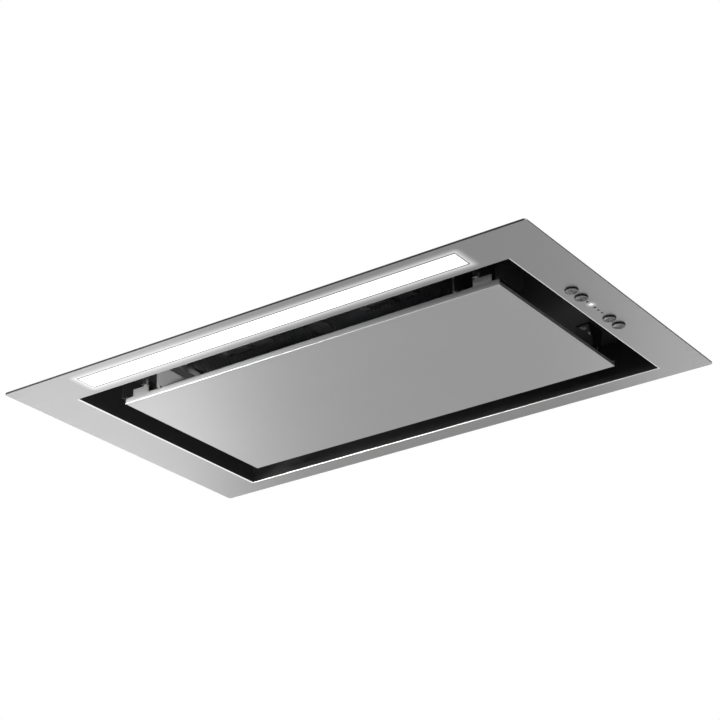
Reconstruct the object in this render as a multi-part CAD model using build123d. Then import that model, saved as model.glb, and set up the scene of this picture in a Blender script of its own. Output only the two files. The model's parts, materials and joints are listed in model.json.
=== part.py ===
from build123d import *
import os
from math import cos, degrees, radians, sin

os.makedirs("parts", exist_ok=True)

# Built-in range hood, as it hangs: +X is the user's right, -Y the user, +Z up.
# The origin is the middle of the face frame, in the plane of its visible face.

# Face frame
frame_w = 720.0
frame_d = 437.0
frame_t = 1.0
rim_hem_w = 7.0            # outer edge folded back flat; the cabinet's board rests on it
frame_corner_r = 3.5
edge_break = 0.3
left_band = 60.8           # face frame's edges to the opening
right_band = 57.6
front_band = 63.9
back_band = 27.1
opening_fold_r = 0.9       # rolled edge of the opening, on the visible side

# Lamp
lamp_band = 17.6           # face frame's front edge to the lamp window
lamp_side = 37.8           # opening's side to the lamp window's end
lamp_d = 32.0
lamp_gap = 0.4
lens_flange = 4.4
lens_ledge = 3.4           # lens's flange beyond the window, front and back
lens_room = 0.3            # lens's flange to the housing's rebate
lamp_shoulder = 3.3
lens_t = 1.6
lamp_wall = 1.4
lamp_room = 20.0           # free height over the lens
lamp_board_w = 12.0
lamp_board_t = 1.6
lamp_board_in = 3.0
diode_count = 26
diode_size = 3.0
diode_t = 1.0
driver_w = 120.0
driver_d = 30.0
driver_h = 20.0
driver_from_end = 73.0     # lamp window's end to the driver's middle
driver_edge = 1.0
ear_l = 10.0
ear_w = 16.0
ear_t = 2.0
ear_slot = 4.0

# Buttons and indicator lights
button_d = 15.0
button_gap = 0.4
button_proud = 2.0
button_flange_w = 18.0     # square carrier behind the frame, which keeps the button in
button_flange_t = 1.2
button_rest_gap = 0.3      # face frame's back to the button's flange
button_travel = 1.6
button_body_h = 5.5
stem_w = 4.4
button_from_opening = 17.8
button_pitch = 21.8
button_pair = 43.3         # middle of the row to the middle of each pair
button_row_y = 2.9
button_rim = 0.8
dish_depth = 0.45
light_count = 5
light_pitch = 8.5
light_shift = -1.5
light_hole_d = 3.4
light_gap = 0.1
light_bar_t = 2.0
light_bar_w = 5.0
light_leg_w = 3.0
light_air = 0.4            # light pipe to the diodes
control_diode = 3.0
control_diode_t = 1.8

# Control box
control_wall = 1.6
control_box_w = 24.4
control_box_len = 162.0
control_box_h = 30.0
control_board_t = 1.6
control_post_w = 4.0
control_slot_w = 12.0
control_slot_h = 6.0
control_box_gap = 0.6      # cavity's flange to the box
control_board_gap = 1.0
chip_w = 10.0
chip_d = 14.0
chip_h = 2.2
plug_w = 8.0
plug_d = 14.0
plug_h = 6.0
plug_in = 8.0
switch_size = 12.0
switch_h = 7.0
switch_bore_gap = 0.3
switch_clear = 0.3         # stem's end to the bore's end when pressed

# Cavity liner
cavity_h = 50.5
liner_t = 0.8
liner_gap = 0.4
liner_flange = 5.0

# Panel
panel_t = 1.0
panel_side_gap = 37.3      # opening's edges to the panel
panel_front_gap = 43.6
panel_back_gap = 39.4
panel_proud = 1.0
panel_flange_top = 6.5     # top of the panel's front and back flanges
panel_fold_r = 1.0
hem_w = 6.0
hem_t = 0.9
tray_t = 0.8
tray_gap = 0.4
tray_side = 9.7            # panel's side edge to the tray's side wall
tray_lip = 8.2
tray_h = 4.9
bead_w = 12.0
bead_h = 2.4
bead_y = 52.0              # bead's middle from the panel's middle
bead_end = 40.0

# Strikes and catches
strike_in = 22.3           # panel's side edge to the strike's middle
strike_w = 23.5
strike_gap = 0.2           # panel's front flange to the strike
strike_t = 1.2
strike_top = 16.0
strike_foot = 21.0
prong_in = 29.1            # panel's side edge to the prong's middle
prong_w = 5.0
prong_top = 22.5
prong_head_r = 1.5
catch_inner = 54.4         # panel's side edge to the bracket's inner cheek
catch_outer = 0.5          # bracket's outer cheek beyond the panel's side edge
catch_t = 1.0
catch_top = 35.3
cheek_ahead = 7.0          # bracket's cheeks from the panel's front edge
cheek_behind = 53.0
cheek_gap = 1.6            # panel's front flange to the cheek's step
cheek_bevel = 8.0
catch_screw_in = 12.0
catch_window_in = 14.0     # margins of the cut-out over the spring catch
catch_window_front = 16.0
catch_window_back = 12.0
catch_low = 4.8
catch_over = 8.6
catch_arm_low = 24.0
catch_flange_h = 22.0
catch_screw_z = 40.5
spring_t = 0.5
spring_w = 6.0
spring_nip = 3.3
spring_foot = 7.0
spring_base = 2.6
spring_swell = 3.4
spring_shoulder = 7.0
spring_nip_drop = 3.0
spring_mouth_drop = 6.5
spring_mouth = 2.2
spring_lean = 0.3
spring_ease = 0.1
spring_bridge = 4.0

# Panel hinge
hinge_in = 19.5            # panel's side edge to the arm's inner face
arm_back = 9.0
arm_shoulder = 6.0
arm_t = 1.5
arm_foot_w = 14.0
arm_foot_t = 1.2
arm_run = 31.0
eye_r = 6.0
pin_r = 2.5
pin_gap = 0.06
pin_head_r = 4.0
pin_head_t = 1.2
pin_back = 12.0            # panel's back edge to the pin
pin_z = 22.0
hinge_gap = 1.6            # arm to bracket
bracket_t = 1.5
bracket_foot = 18.0
bracket_run = 30.0
bracket_shoulder = 6.0

# Grease filters
filter_space = 1.6         # between the two cassettes
filter_side_gap = 8.5      # catch bracket to the cassette
filter_front_gap = 36.6    # opening's edges to the cassettes
filter_back_gap = 49.4
filter_corner_r = 3.0
filter_h = 10.5
filter_rim = 9.0
filter_sheet = 0.8
filter_drop = 0.5          # ceiling to the cassette's top
mesh_t = 1.0
mesh_grip = 6.0
mesh_pitch_x = 20.0
mesh_pitch_y = 40.0
mesh_strand = 2.4
mesh_border = 2.0
air_border = 3.5           # how far the ceiling covers a cassette's rim
rail_t = 1.2
rail_gap = 2.2
rail_foot = 12.0
tongue_w = 16.0
tongue_t = 1.2
tongue_gap = 0.4
tongue_over = 1.6          # how far a tongue shows beyond its rail
tongue_off = 60.0
latch_plate_w = 72.0
latch_plate_d = 31.0
mesh_lap = 2.0             # mesh's edge over the latch's plate
latch_w = 48.0
latch_d = 28.0
latch_t = 1.2
latch_gap = 0.2
latch_back_gap = 0.6       # cassette's front wall to the slider
latch_lift = 2.5           # cassette's bottom sheet to the slider
latch_tongue_w = 20.0
latch_travel = 6.5
grip_w = 34.0
grip_h = 9.0
grip_t = 1.8
grip_gap = 1.0
grip_fold_r = 0.8
grip_hook = 11.0
grip_from_front = 17.0
guide_w = 5.4
guide_t = 1.8
guide_over = 1.0

# Lower body and motor tower
body_in_x = 15.0           # face frame's edge to the lower body's wall
body_in_y = 11.5
body_top = 118.0
body_corner_r = 3.0
sheet = 0.8
cabinet_hole_r = 2.5
cabinet_hole_z = 88.0
cabinet_hole_off = 140.0
side_fixing_y = 0.0        # middle of the side walls' screws and clips
wire_slot_w = 16.0
wire_slot_d = 12.0
tower_w = 330.0
tower_d = 300.0
tower_y = 15.0
tower_top = 292.0
tower_flange = 12.0
tower_corner_r = 6.0
recess_depth = 3.0
recess_w = 230.0
recess_h = 110.0
air_lip = 12.0             # lower body's top left standing inside the tower

# Blower
axle_ahead = 20.0          # tower's middle to the axle
axle_up = 60.0             # lower body's top to the axle
wheel_r = 72.0
blade_depth = 12.0
wheel_w = 100.0
blade_count = 32
blade_t = 1.0
blade_sweep = 7.0
blade_in = 1.0             # blades stay this far inside the rings' edges
ring_t = 3.0
disc_t = 2.0
hub_r = 13.0
hub_w = 22.0
shaft_r = 4.0
scroll_wall = 2.0
scroll_side_gap = 6.0      # wheel to the scroll's side wall
scroll_gap = 8.0           # wheel to the scroll at its cut-off
scroll_end_r = 118.0
scroll_cut = 75.0          # angle of the cut-off, from +Y
inlet_over = 3.0           # inlet's radius over the rings' inner radius
inlet_lip = 5.0
adaptor_h = 24.0
outlet_flange = 8.0
outlet_d = 94.0
outlet_shift = 64.0        # axle to the spigot's middle
motor_r = 45.0
motor_l = 82.0
motor_gap = 6.0            # motor's boss to the hub
motor_slots = 6
motor_slot_w = 7.0
motor_slot_depth = 2.0
motor_slot_in = 14.0
shaft_gap = 0.08
shaft_end = 5.0
boss_r = 14.0
boss_h = 5.0
grommet_r = 5.0
grommet_t = 4.0
grommet_ring_r = 30.0
motor_bracket_t = 2.0
motor_bracket_hub_r = 38.0
bracket_arm_w = 14.0
bracket_leg_gap = 1.0      # inlet's lip to the bracket's legs
bracket_leg_foot = 10.0

# Outlet
spigot_r = 74.5
spigot_wall = 2.0
spigot_h = 40.0
collar_flange_w = 176.0
collar_flange_t = 2.4
collar_screw_in = 8.0
stop_w = 3.0
stop_z = 7.0
flap_t = 1.5
rib_t = 2.0
flap_gap = 1.2
flap_rest_gap = 0.1
flap_split = 4.6           # pin's middle to each flap's straight edge
knuckle_r = 2.7
damper_pin_r = 1.5
damper_pin_gap = 0.08
knuckle_w = 10.0
knuckle_space = 0.5
pin_over_stop = 5.6        # flaps' seat to the pin's middle
knuckle_in = 14.0          # spigot's inside to the first knuckle

# Electronics
box_gap = 13.0             # tower's flange to the box
box_side = 23.0            # box to the lower body's side wall
box_y = 5.0
box_d = 150.0
box_h = 40.0
box_wall = 2.0
box_corner_r = 4.0
cover_lip = 4.0
cover_gap = 0.2
cover_slots = 7
cover_slot_l = 56.0
cover_slot_w = 3.0
cover_slot_pitch = 9.0
post_w = 6.0
post_h = 6.0
power_board_front = 7.0
board_gap = 5.0            # power board to the capacitor
power_board_t = 1.6
power_board_in = 6.0
relay_w = 16.0
relay_d = 12.0
relay_h = 15.0
transformer_w = 28.0
transformer_h = 22.0
smoother_r = 7.0
smoother_h = 18.0
capacitor_r = 14.0
capacitor_l = 58.0
capacitor_gap = 1.0
terminal_w = 22.0
terminal_d = 44.0
terminal_h = 16.0
terminal_ways = 4
terminal_from_wall = 10.0
terminal_gap = 9.0         # terminal block to the power board
gland_r = 9.0
gland_end_r = 7.5
gland_bore_r = 4.5
gland_l = 20.0
gland_nut_r = 12.0
gland_nut_t = 5.0
gland_from_side = 22.0

# Cabinet clips and screws
clip_w = 30.0
clip_t = 0.8
clip_bulge = 7.0
clip_z = 74.0
clip_drop = 56.0
clip_off = 90.0
clip_straight = 14.0
clip_toe = 1.5
screw_head_r = 3.6
screw_head_t = 1.8
screw_r = 1.6
screw_hole_r = 1.7
screw_l = 6.0

# Places worked out from the sizes above
opening_w = frame_w - left_band - right_band
opening_d = frame_d - front_band - back_band
works_x = (left_band - right_band) / 2
opening_y = (front_band - back_band) / 2
opening_front = opening_y - opening_d / 2
opening_back = opening_y + opening_d / 2
opening_right = works_x + opening_w / 2
lamp_w = opening_w - 2 * lamp_side
lamp_y = -frame_d / 2 + lamp_band + lamp_d / 2
button_x = opening_right + button_from_opening
button_ys = [
    button_row_y + side * button_pair + step * button_pitch / 2
    for side in (-1, 1)
    for step in (-1, 1)
]
light_y = button_row_y + light_shift
light_ys = [light_y + (i - (light_count - 1) / 2) * light_pitch for i in range(light_count)]
cavity_w = opening_w + 2 * liner_gap
cavity_d = opening_d + 2 * liner_gap
cavity_front = opening_y - cavity_d / 2
cavity_back = opening_y + cavity_d / 2
panel_w = opening_w - 2 * panel_side_gap
panel_front = opening_front + panel_front_gap
panel_back = opening_back - panel_back_gap
panel_y = (panel_front + panel_back) / 2
strike_off = panel_w / 2 - strike_in
prong_off = panel_w / 2 - prong_in
catch_in = panel_w / 2 - catch_inner
catch_out = panel_w / 2 + catch_outer
cheek_front = panel_front - cheek_ahead
cheek_back = panel_front + cheek_behind
hinge_off = panel_w / 2 - hinge_in
pin_y = panel_back - pin_back
filter_top = cavity_h - filter_drop
filter_low = filter_top - filter_h
filter_w = catch_in - filter_side_gap - filter_space / 2
filter_y0 = opening_front + filter_front_gap
filter_y1 = opening_back - filter_back_gap
filter_xs = [works_x + side * (filter_w + filter_space) / 2 for side in (-1, 1)]
flange_z = frame_t + button_rest_gap
switch_low = button_body_h + 4.1
stem_top = switch_low + 1.6
bore_depth = stem_top + button_travel + switch_clear - switch_low
board_low = switch_low + switch_h
control_x0 = works_x + cavity_w / 2 + liner_t + liner_flange + control_box_gap
control_x1 = control_x0 + control_box_w
control_y0 = button_row_y - control_box_len / 2
control_y1 = button_row_y + control_box_len / 2
control_top = frame_t + control_box_h
lamp_top = frame_t + lens_t + lamp_room + lamp_wall
body_w = frame_w - 2 * body_in_x
body_d = frame_d - 2 * body_in_y
tower_x0 = -tower_w / 2
tower_y0 = tower_y - tower_d / 2
tower_y1 = tower_y + tower_d / 2
axle_y = tower_y - axle_ahead
axle_z = body_top + axle_up
wheel_in_r = wheel_r - blade_depth
scroll_w = wheel_w + 2 * scroll_side_gap
scroll_start_r = wheel_r + scroll_gap
scroll_inlet_r = wheel_in_r + inlet_over
motor_in = -hub_w / 2 - motor_gap - boss_h
outlet_y = axle_y + outlet_shift
outlet_z = tower_top - adaptor_h
scroll_outlet_y = scroll_end_r - outlet_d / 2
damper_pin_z = stop_z + pin_over_stop
box_x = tower_w / 2 + tower_flange + box_gap
box_w = body_w / 2 - box_side - box_x
power_board_x = box_x + box_wall + power_board_in
power_board_y = box_y - box_d / 2 + box_wall + power_board_front
power_board_w = box_w - 2 * box_wall - power_board_in - 2 * capacitor_r - capacitor_gap - board_gap
power_board_l = box_d - 2 * box_wall - power_board_front - terminal_w - terminal_from_wall - terminal_gap


def block(x0, x1, y0, y1, z0, z1):
    """Box between two corners."""
    size = (abs(x1 - x0), abs(y1 - y0), abs(z1 - z0))
    return Pos((x0 + x1) / 2, (y0 + y1) / 2, (z0 + z1) / 2) * Box(*size)


def side_block(side, off0, off1, y0, y1, z0, z1):
    """Box on the left (-1) or right (1) of the opening's middle line."""
    return block(works_x + side * off0, works_x + side * off1, y0, y1, z0, z1)


def rod(x, y, z0, z1, r):
    """Upright cylinder."""
    return Pos(x, y, (z0 + z1) / 2) * Cylinder(r, abs(z1 - z0))


def rod_x(x0, x1, y, z, r):
    """Cylinder along X."""
    return Pos((x0 + x1) / 2, y, z) * Rot(0, 90, 0) * Cylinder(r, abs(x1 - x0))


def rod_y(x, y0, y1, z, r):
    """Cylinder along Y."""
    return Pos(x, (y0 + y1) / 2, z) * Rot(90, 0, 0) * Cylinder(r, abs(y1 - y0))


def slab(x, y, z, w, d, t, r):
    """Flat plate with rounded corners, its underside at z."""
    return Pos(x, y, z) * extrude(RectangleRounded(w, d, r), amount=t)


def prism_x(points, x0, x1):
    """Outline given as (y, z) points, run along X from x0 to x1."""
    face = Plane.YZ * make_face(Polyline(*points, close=True))
    return Pos(min(x0, x1), 0, 0) * extrude(face, amount=abs(x1 - x0))


def screw(x, y, z, up):
    """Hexagon-head screw standing on the plane z; up is 1 for a head above it, -1 below."""
    head = Pos(x, y, z) * extrude(RegularPolygon(screw_head_r, 6), amount=up * screw_head_t)
    return head + Pos(x, y, z) * extrude(RegularPolygon(screw_r, 6), amount=-up * screw_l)


def screw_hole(x, y, z0, z1):
    """Upright hole, six-sided like the shank in it."""
    return Pos(x, y, z0) * extrude(RegularPolygon(screw_hole_r, 6), amount=z1 - z0)


def screw_hole_y(x, y0, y1, z):
    return Pos(x, y1, z) * Rot(90, 0, 0) * extrude(RegularPolygon(screw_hole_r, 6), amount=y1 - y0)


def face_frame():
    plate = slab(0, 0, 0, frame_w, frame_d, 2 * frame_t, frame_corner_r)
    plate = chamfer(plate.faces().sort_by(Axis.Z)[0].edges(), edge_break)
    plate -= block(
        -frame_w / 2 + rim_hem_w, frame_w / 2 - rim_hem_w, -frame_d / 2 + rim_hem_w,
        frame_d / 2 - rim_hem_w, frame_t, 2 * frame_t + 1,
    )
    plate -= block(
        works_x - opening_w / 2, works_x + opening_w / 2,
        opening_y - opening_d / 2, opening_y + opening_d / 2, -1, frame_t + 1,
    )
    inner = [
        e for e in plate.edges().filter_by_position(Axis.Z, -0.01, 0.01)
        if abs(e.center().X - works_x) < opening_w / 2 + 1
        and abs(e.center().Y - opening_y) < opening_d / 2 + 1
    ]
    plate = fillet(inner, opening_fold_r)
    plate -= block(
        works_x - lamp_w / 2, works_x + lamp_w / 2, lamp_y - lamp_d / 2, lamp_y + lamp_d / 2, -1, frame_t + 1,
    )
    for y in button_ys:
        plate -= rod(button_x, y, 0, frame_t, button_d / 2 + button_gap)
    for y in light_ys:
        plate -= rod(button_x, y, 0, frame_t, light_hole_d / 2)
    return plate


def filter_air_hole(x):
    return block(
        x - filter_w / 2 + air_border, x + filter_w / 2 - air_border,
        filter_y0 + air_border, filter_y1 - air_border,
        cavity_h - 1, cavity_h + liner_t + 1,
    )


def catch_spots():
    """Screws through the catch brackets into the cavity's front wall: (x, z)."""
    offs = (catch_in + catch_screw_in, catch_out - catch_screw_in)
    return [(works_x + side * off, catch_screw_z) for side in (-1, 1) for off in offs]


def hinge_spots():
    """Screws through the hinge brackets into the ceiling: (x, y)."""
    off = hinge_off + arm_t + hinge_gap - bracket_foot * 0.55
    ys = (pin_y - bracket_run * 0.3, pin_y + bracket_run * 0.3)
    return [(works_x + side * off, y) for side in (-1, 1) for y in ys]


def rail_spots():
    """Screws through the filter rails into the ceiling: (x, y)."""
    front = filter_y0 - rail_gap - rail_t - rail_foot * 0.5
    back = filter_y1 + rail_gap + rail_t + rail_foot * 0.5
    span = filter_w * 0.8
    return [(works_x + k * span, y) for y in (front, back) for k in (-0.5, 0.5)]


def cavity_liner():
    z0 = frame_t
    outer = block(
        works_x - cavity_w / 2 - liner_t, works_x + cavity_w / 2 + liner_t,
        cavity_front - liner_t, cavity_back + liner_t, z0, cavity_h + liner_t,
    )
    inner = block(
        works_x - cavity_w / 2, works_x + cavity_w / 2, cavity_front, cavity_back, z0 - 1, cavity_h,
    )
    flange = block(
        works_x - cavity_w / 2 - liner_t - liner_flange, works_x + cavity_w / 2 + liner_t + liner_flange,
        cavity_front - liner_t - liner_flange, cavity_back + liner_t + liner_flange, z0, z0 + liner_t,
    )
    liner = outer + flange - inner
    for x in filter_xs:
        liner -= filter_air_hole(x)
    for x, y in hinge_spots() + rail_spots():
        liner -= screw_hole(x, y, cavity_h - 1, cavity_h + liner_t + 1)
    for x, z in catch_spots():
        liner -= screw_hole_y(x, cavity_front - liner_t - 1, cavity_front + 1, z)
    return liner


def catch_bracket(side):
    """Bent sheet bracket that carries a spring catch, hung from the cavity's front wall."""
    front, back = cheek_front, cheek_back
    cheek = [
        (cavity_front, catch_arm_low), (front, catch_arm_low), (front, catch_low),
        (panel_front - cheek_gap, catch_low), (panel_front - cheek_gap, catch_over),
        (back - cheek_bevel, catch_over), (back, catch_over + cheek_bevel), (back, catch_top),
        (cavity_front, catch_top),
    ]
    part = None
    for off in (catch_in, catch_out - catch_t):
        x = works_x + side * off
        plate = prism_x(cheek, x, x + side * catch_t)
        part = plate if part is None else part + plate
    part += side_block(side, catch_in, catch_out, cavity_front, back, catch_top - catch_t, catch_top)
    part += side_block(
        side, catch_in, catch_out, cavity_front, cavity_front + catch_t,
        catch_arm_low, catch_arm_low + catch_flange_h,
    )
    part -= side_block(
        side, catch_in + catch_window_in, catch_out - catch_window_in, front + catch_window_front,
        back - catch_window_back, catch_top - catch_t - 1, catch_top + 1,
    )
    for x, z in catch_spots():
        part -= screw_hole_y(x, cavity_front - 1, cavity_front + catch_t + 1, z)
    return part


def spring_catch(side):
    """Two spring leaves hung under the bracket's top; the strike's head snaps up between them."""
    x = works_x + side * (prong_off - spring_w / 2)
    y = panel_front + panel_t + strike_gap + strike_t / 2
    top = catch_top - catch_t
    half = spring_nip / 2
    nip, mouth = prong_top - spring_nip_drop, prong_top - spring_mouth_drop
    leaf = [
        (spring_foot, top), (spring_foot, top - spring_t), (spring_base, top - spring_t),
        (spring_swell, top - spring_shoulder), (half, nip), (half + spring_mouth, mouth),
        (half + spring_mouth + spring_t, mouth + spring_lean), (half + spring_t, nip),
        (spring_swell + spring_t, top - spring_shoulder + spring_ease), (spring_swell - spring_ease, top),
    ]
    def leaf_face(sign):
        return [(y + sign * a, b) for a, b in leaf]
    x1 = x + side * spring_w
    part = prism_x(leaf_face(1), x, x1) + prism_x(leaf_face(-1), x, x1)
    bridge = block(x, x1, y - spring_bridge, y + spring_bridge, top - spring_t, top)
    return part + bridge


def hinge_bracket(side):
    """Bent plate from the ceiling down to the hinge pin."""
    off = hinge_off + arm_t + hinge_gap
    x = works_x + side * off
    half = bracket_run / 2
    ear = [
        (pin_y - half, cavity_h), (pin_y - half, cavity_h - bracket_shoulder), (pin_y - eye_r, pin_z),
        (pin_y + eye_r, pin_z), (pin_y + half, cavity_h - bracket_shoulder), (pin_y + half, cavity_h),
    ]
    part = prism_x(ear, x, x + side * bracket_t)
    part += rod_x(x, x + side * bracket_t, pin_y, pin_z, eye_r)
    part += side_block(
        side, off + bracket_t - bracket_foot, off + bracket_t, pin_y - half, pin_y + half,
        cavity_h - bracket_t, cavity_h,
    )
    part -= rod_x(x - 5, x + 5, pin_y, pin_z, pin_r)
    for sx, sy in hinge_spots():
        part -= screw_hole(sx, sy, cavity_h - bracket_t - 1, cavity_h + 1)
    return part


def hinge_pins():
    parts = []
    for side in (-1, 1):
        x0 = works_x + side * (hinge_off - hinge_gap)
        x1 = works_x + side * (hinge_off + arm_t + hinge_gap + bracket_t)
        pin = rod_x(x0, x1, pin_y, pin_z, pin_r)
        parts.append(pin + rod_x(x0, x0 - side * pin_head_t, pin_y, pin_z, pin_head_r))
    return Compound(children=parts)


def hinge_arm(side):
    """Arm that stands on the panel's tray and turns on the pin."""
    x = works_x + side * hinge_off
    y0, y1 = pin_y - arm_run + arm_back, pin_y + arm_back
    foot_z = panel_t - panel_proud + tray_t
    web = [
        (y0, foot_z), (y0, foot_z + arm_shoulder), (pin_y - eye_r, pin_z),
        (pin_y + eye_r, pin_z), (y1, foot_z + arm_shoulder), (y1, foot_z),
    ]
    part = prism_x(web, x, x + side * arm_t) + rod_x(x, x + side * arm_t, pin_y, pin_z, eye_r)
    part += side_block(
        side, hinge_off + arm_t - arm_foot_w, hinge_off + arm_t, y0, y1,
        foot_z, foot_z + arm_foot_t,
    )
    return part - rod_x(x - 5, x + 5, pin_y, pin_z, pin_r + pin_gap)


def panel_skin():
    low = -panel_proud
    face = block(
        works_x - panel_w / 2, works_x + panel_w / 2, panel_front, panel_back, low, low + panel_t,
    )
    part = face
    for y0, y1 in ((panel_front, panel_front + panel_t), (panel_back - panel_t, panel_back)):
        part += block(
            works_x - panel_w / 2, works_x + panel_w / 2, y0, y1, low, panel_flange_top,
        )
    for side in (-1, 1):
        part += side_block(
            side, panel_w / 2 - hem_w, panel_w / 2, panel_front, panel_back, low, low + panel_t + hem_t,
        )
    rim = part.edges().filter_by_position(Axis.Z, low - 0.01, low + 0.01)
    folds = [e for e in rim if abs(e.center().X - works_x) < 1]
    part = fillet(folds, panel_fold_r)
    sides = [
        e for e in part.edges().filter_by_position(Axis.Z, low - 0.01, low + 0.01)
        if abs(e.center().X - works_x) > panel_w / 2 - 1
    ]
    return chamfer(sides, edge_break)


def panel_tray():
    """Stiffener inside the panel; its side lips show just above the panel's side edges."""
    low = panel_t - panel_proud
    half = panel_w / 2 - tray_side
    y0 = panel_front + panel_t + tray_gap
    y1 = panel_back - panel_t - tray_gap
    part = block(works_x - half, works_x + half, y0, y1, low, low + tray_t)
    for side in (-1, 1):
        part += side_block(side, half - tray_t, half, y0, y1, low, tray_h)
        part += side_block(side, half - tray_t, half + tray_lip, y0, y1, tray_h - tray_t, tray_h)
    back = block(works_x - half, works_x + half, y1 - tray_t, y1, low, tray_h)
    front = block(works_x - half, works_x + half, y0, y0 + tray_t, low, tray_h)
    for side in (-1, 1):
        notch = strike_w / 2 + 1.0
        front -= side_block(
            side, strike_off - notch, strike_off + notch, y0 - 1, y0 + tray_t + 1, low + tray_t, tray_h + 1,
        )
    part += back + front
    for side in (-1, 1):
        y = panel_y + side * bead_y
        bead = block(
            works_x - half + bead_end, works_x + half - bead_end, y - bead_w / 2, y + bead_w / 2,
            low + tray_t, low + tray_t + bead_h,
        )
        part += chamfer(bead.faces().sort_by(Axis.Z)[-1].edges(), bead_h * 0.6)
    return part


def strike(side):
    """Bent plate welded to the tray; its rolled head is what the spring catch holds."""
    y0 = panel_front + panel_t + strike_gap
    y1 = y0 + strike_t
    base = panel_t - panel_proud + tray_t
    low_off, high_off = strike_off - strike_w / 2, strike_off + strike_w / 2
    part = side_block(side, low_off, high_off, y0, y1, base, strike_top)
    foot_y = y0 + strike_foot
    part += side_block(side, low_off, high_off, y0, foot_y, base, base + strike_t)
    part += side_block(
        side, prong_off - prong_w / 2, prong_off + prong_w / 2, y0, y1, strike_top, prong_top,
    )
    x = works_x + side * prong_off
    return part + rod_x(x - prong_w / 2, x + prong_w / 2, (y0 + y1) / 2, prong_top, prong_head_r)


def filter_frame(x):
    """Folded rim of a grease filter, with the latch's plate and guides and two back tongues."""
    z0, z1 = filter_low, filter_top
    half = filter_w / 2
    part = block(x - half, x + half, filter_y0, filter_y1, z0, z1)
    part = fillet(part.edges().filter_by(Axis.Z), filter_corner_r)
    part -= block(
        x - half + filter_rim, x + half - filter_rim, filter_y0 + filter_rim, filter_y1 - filter_rim,
        z0 - 1, z1 + 1,
    )
    part -= block(
        x - half + filter_sheet, x + half - filter_sheet, filter_y0 + filter_sheet,
        filter_y1 - filter_sheet, z0 + filter_sheet, z1 - filter_sheet,
    )
    plate_y0 = filter_y0 + filter_rim
    plate_y1 = plate_y0 + latch_plate_d
    part += block(
        x - latch_plate_w / 2, x + latch_plate_w / 2, plate_y0, plate_y1, z0, z0 + filter_sheet,
    )
    grip_y = filter_y0 + grip_from_front
    part -= block(
        x - grip_w / 2 - grip_gap, x + grip_w / 2 + grip_gap, grip_y - grip_gap,
        grip_y + grip_t + latch_travel + grip_gap, z0 - 1, z0 + filter_sheet + 1,
    )
    slider_low = z0 + filter_sheet + latch_lift
    for side in (-1, 1):
        edge = latch_w / 2 + latch_gap
        x_in = x + side * (edge - guide_w + guide_t)
        x_out = x + side * (edge + guide_t)
        guide = block(
            x_in, x_out, plate_y0, plate_y1 - mesh_lap, z0 + filter_sheet,
            slider_low + latch_t + latch_gap + guide_over,
        )
        guide -= block(
            x_in, x + side * edge, plate_y0 - 1, plate_y1 + 1,
            slider_low, slider_low + latch_t + latch_gap,
        )
        part += guide
    part -= block(
        x - latch_tongue_w / 2 - tongue_gap, x + latch_tongue_w / 2 + tongue_gap, filter_y0 - 1,
        filter_y0 + filter_sheet + 1, slider_low - latch_gap, slider_low + latch_t + latch_gap,
    )
    for side in (-1, 1):
        tx = x + side * tongue_off
        part += block(
            tx - tongue_w / 2, tx + tongue_w / 2, filter_y1 - filter_sheet,
            filter_y1 + rail_gap + rail_t + tongue_over, slider_low, slider_low + tongue_t,
        )
    return part


def filter_mesh(x):
    """Expanded sheet with a diamond pattern, cut out round the latch."""
    half_w = filter_w / 2 - filter_rim + mesh_grip
    y0 = filter_y0 + filter_rim - mesh_grip
    y1 = filter_y1 - filter_rim + mesh_grip
    z = filter_low + filter_sheet
    sheet_part = block(x - half_w, x + half_w, y0, y1, z, z + mesh_t)
    notch_y = filter_y0 + filter_rim + latch_plate_d - mesh_lap
    edge = latch_plate_w / 2
    sheet_part -= block(x - edge, x + edge, y0 - 1, notch_y, z - 1, z + mesh_t + 1)
    clear = filter_w / 2 - filter_rim - mesh_border
    low_y, high_y = filter_y0 + filter_rim + mesh_border, filter_y1 - filter_rim - mesh_border
    rows = int((high_y - low_y) / (mesh_pitch_y / 2)) - 1
    columns = int(2 * clear / mesh_pitch_x)
    diamonds = []
    mid_y = (low_y + high_y) / 2
    a, b = (mesh_pitch_x - mesh_strand) / 2, (mesh_pitch_y - 2 * mesh_strand) / 2
    for row in range(rows):
        cy = mid_y + (row - (rows - 1) / 2) * mesh_pitch_y / 2
        count = columns - row % 2
        for column in range(count):
            cx = x + (column - (count - 1) / 2) * mesh_pitch_x
            if abs(cx - x) < edge + a + mesh_border and cy < notch_y + b + mesh_border:
                continue
            diamonds.append(Pos(cx, cy, z - 1) * make_face(
                Polyline((-a, 0), (0, -b), (a, 0), (0, b), close=True)))
    cutter = extrude(Sketch(children=diamonds), amount=mesh_t + 2)
    return sheet_part - cutter


def filter_latch(x):
    """Sliding tongue with a finger grip."""
    z = filter_low + filter_sheet + latch_lift
    y0 = filter_y0 + filter_sheet + latch_back_gap
    part = block(x - latch_w / 2, x + latch_w / 2, y0, y0 + latch_d, z, z + latch_t)
    part += block(
        x - latch_tongue_w / 2, x + latch_tongue_w / 2,
        filter_y0 - rail_gap - rail_t - tongue_over, y0, z, z + latch_t,
    )
    grip_y = filter_y0 + grip_from_front
    grip_low = filter_low - grip_h
    part += block(x - grip_w / 2, x + grip_w / 2, grip_y, grip_y + grip_t, grip_low, z)
    hook = block(x - grip_w / 2, x + grip_w / 2, grip_y, grip_y + grip_hook, grip_low, grip_low + grip_t)
    part += hook
    corners = part.edges().filter_by(Axis.X).filter_by_position(Axis.Z, grip_low - 0.1, grip_low + 0.1)
    return fillet(corners, grip_fold_r)


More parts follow.
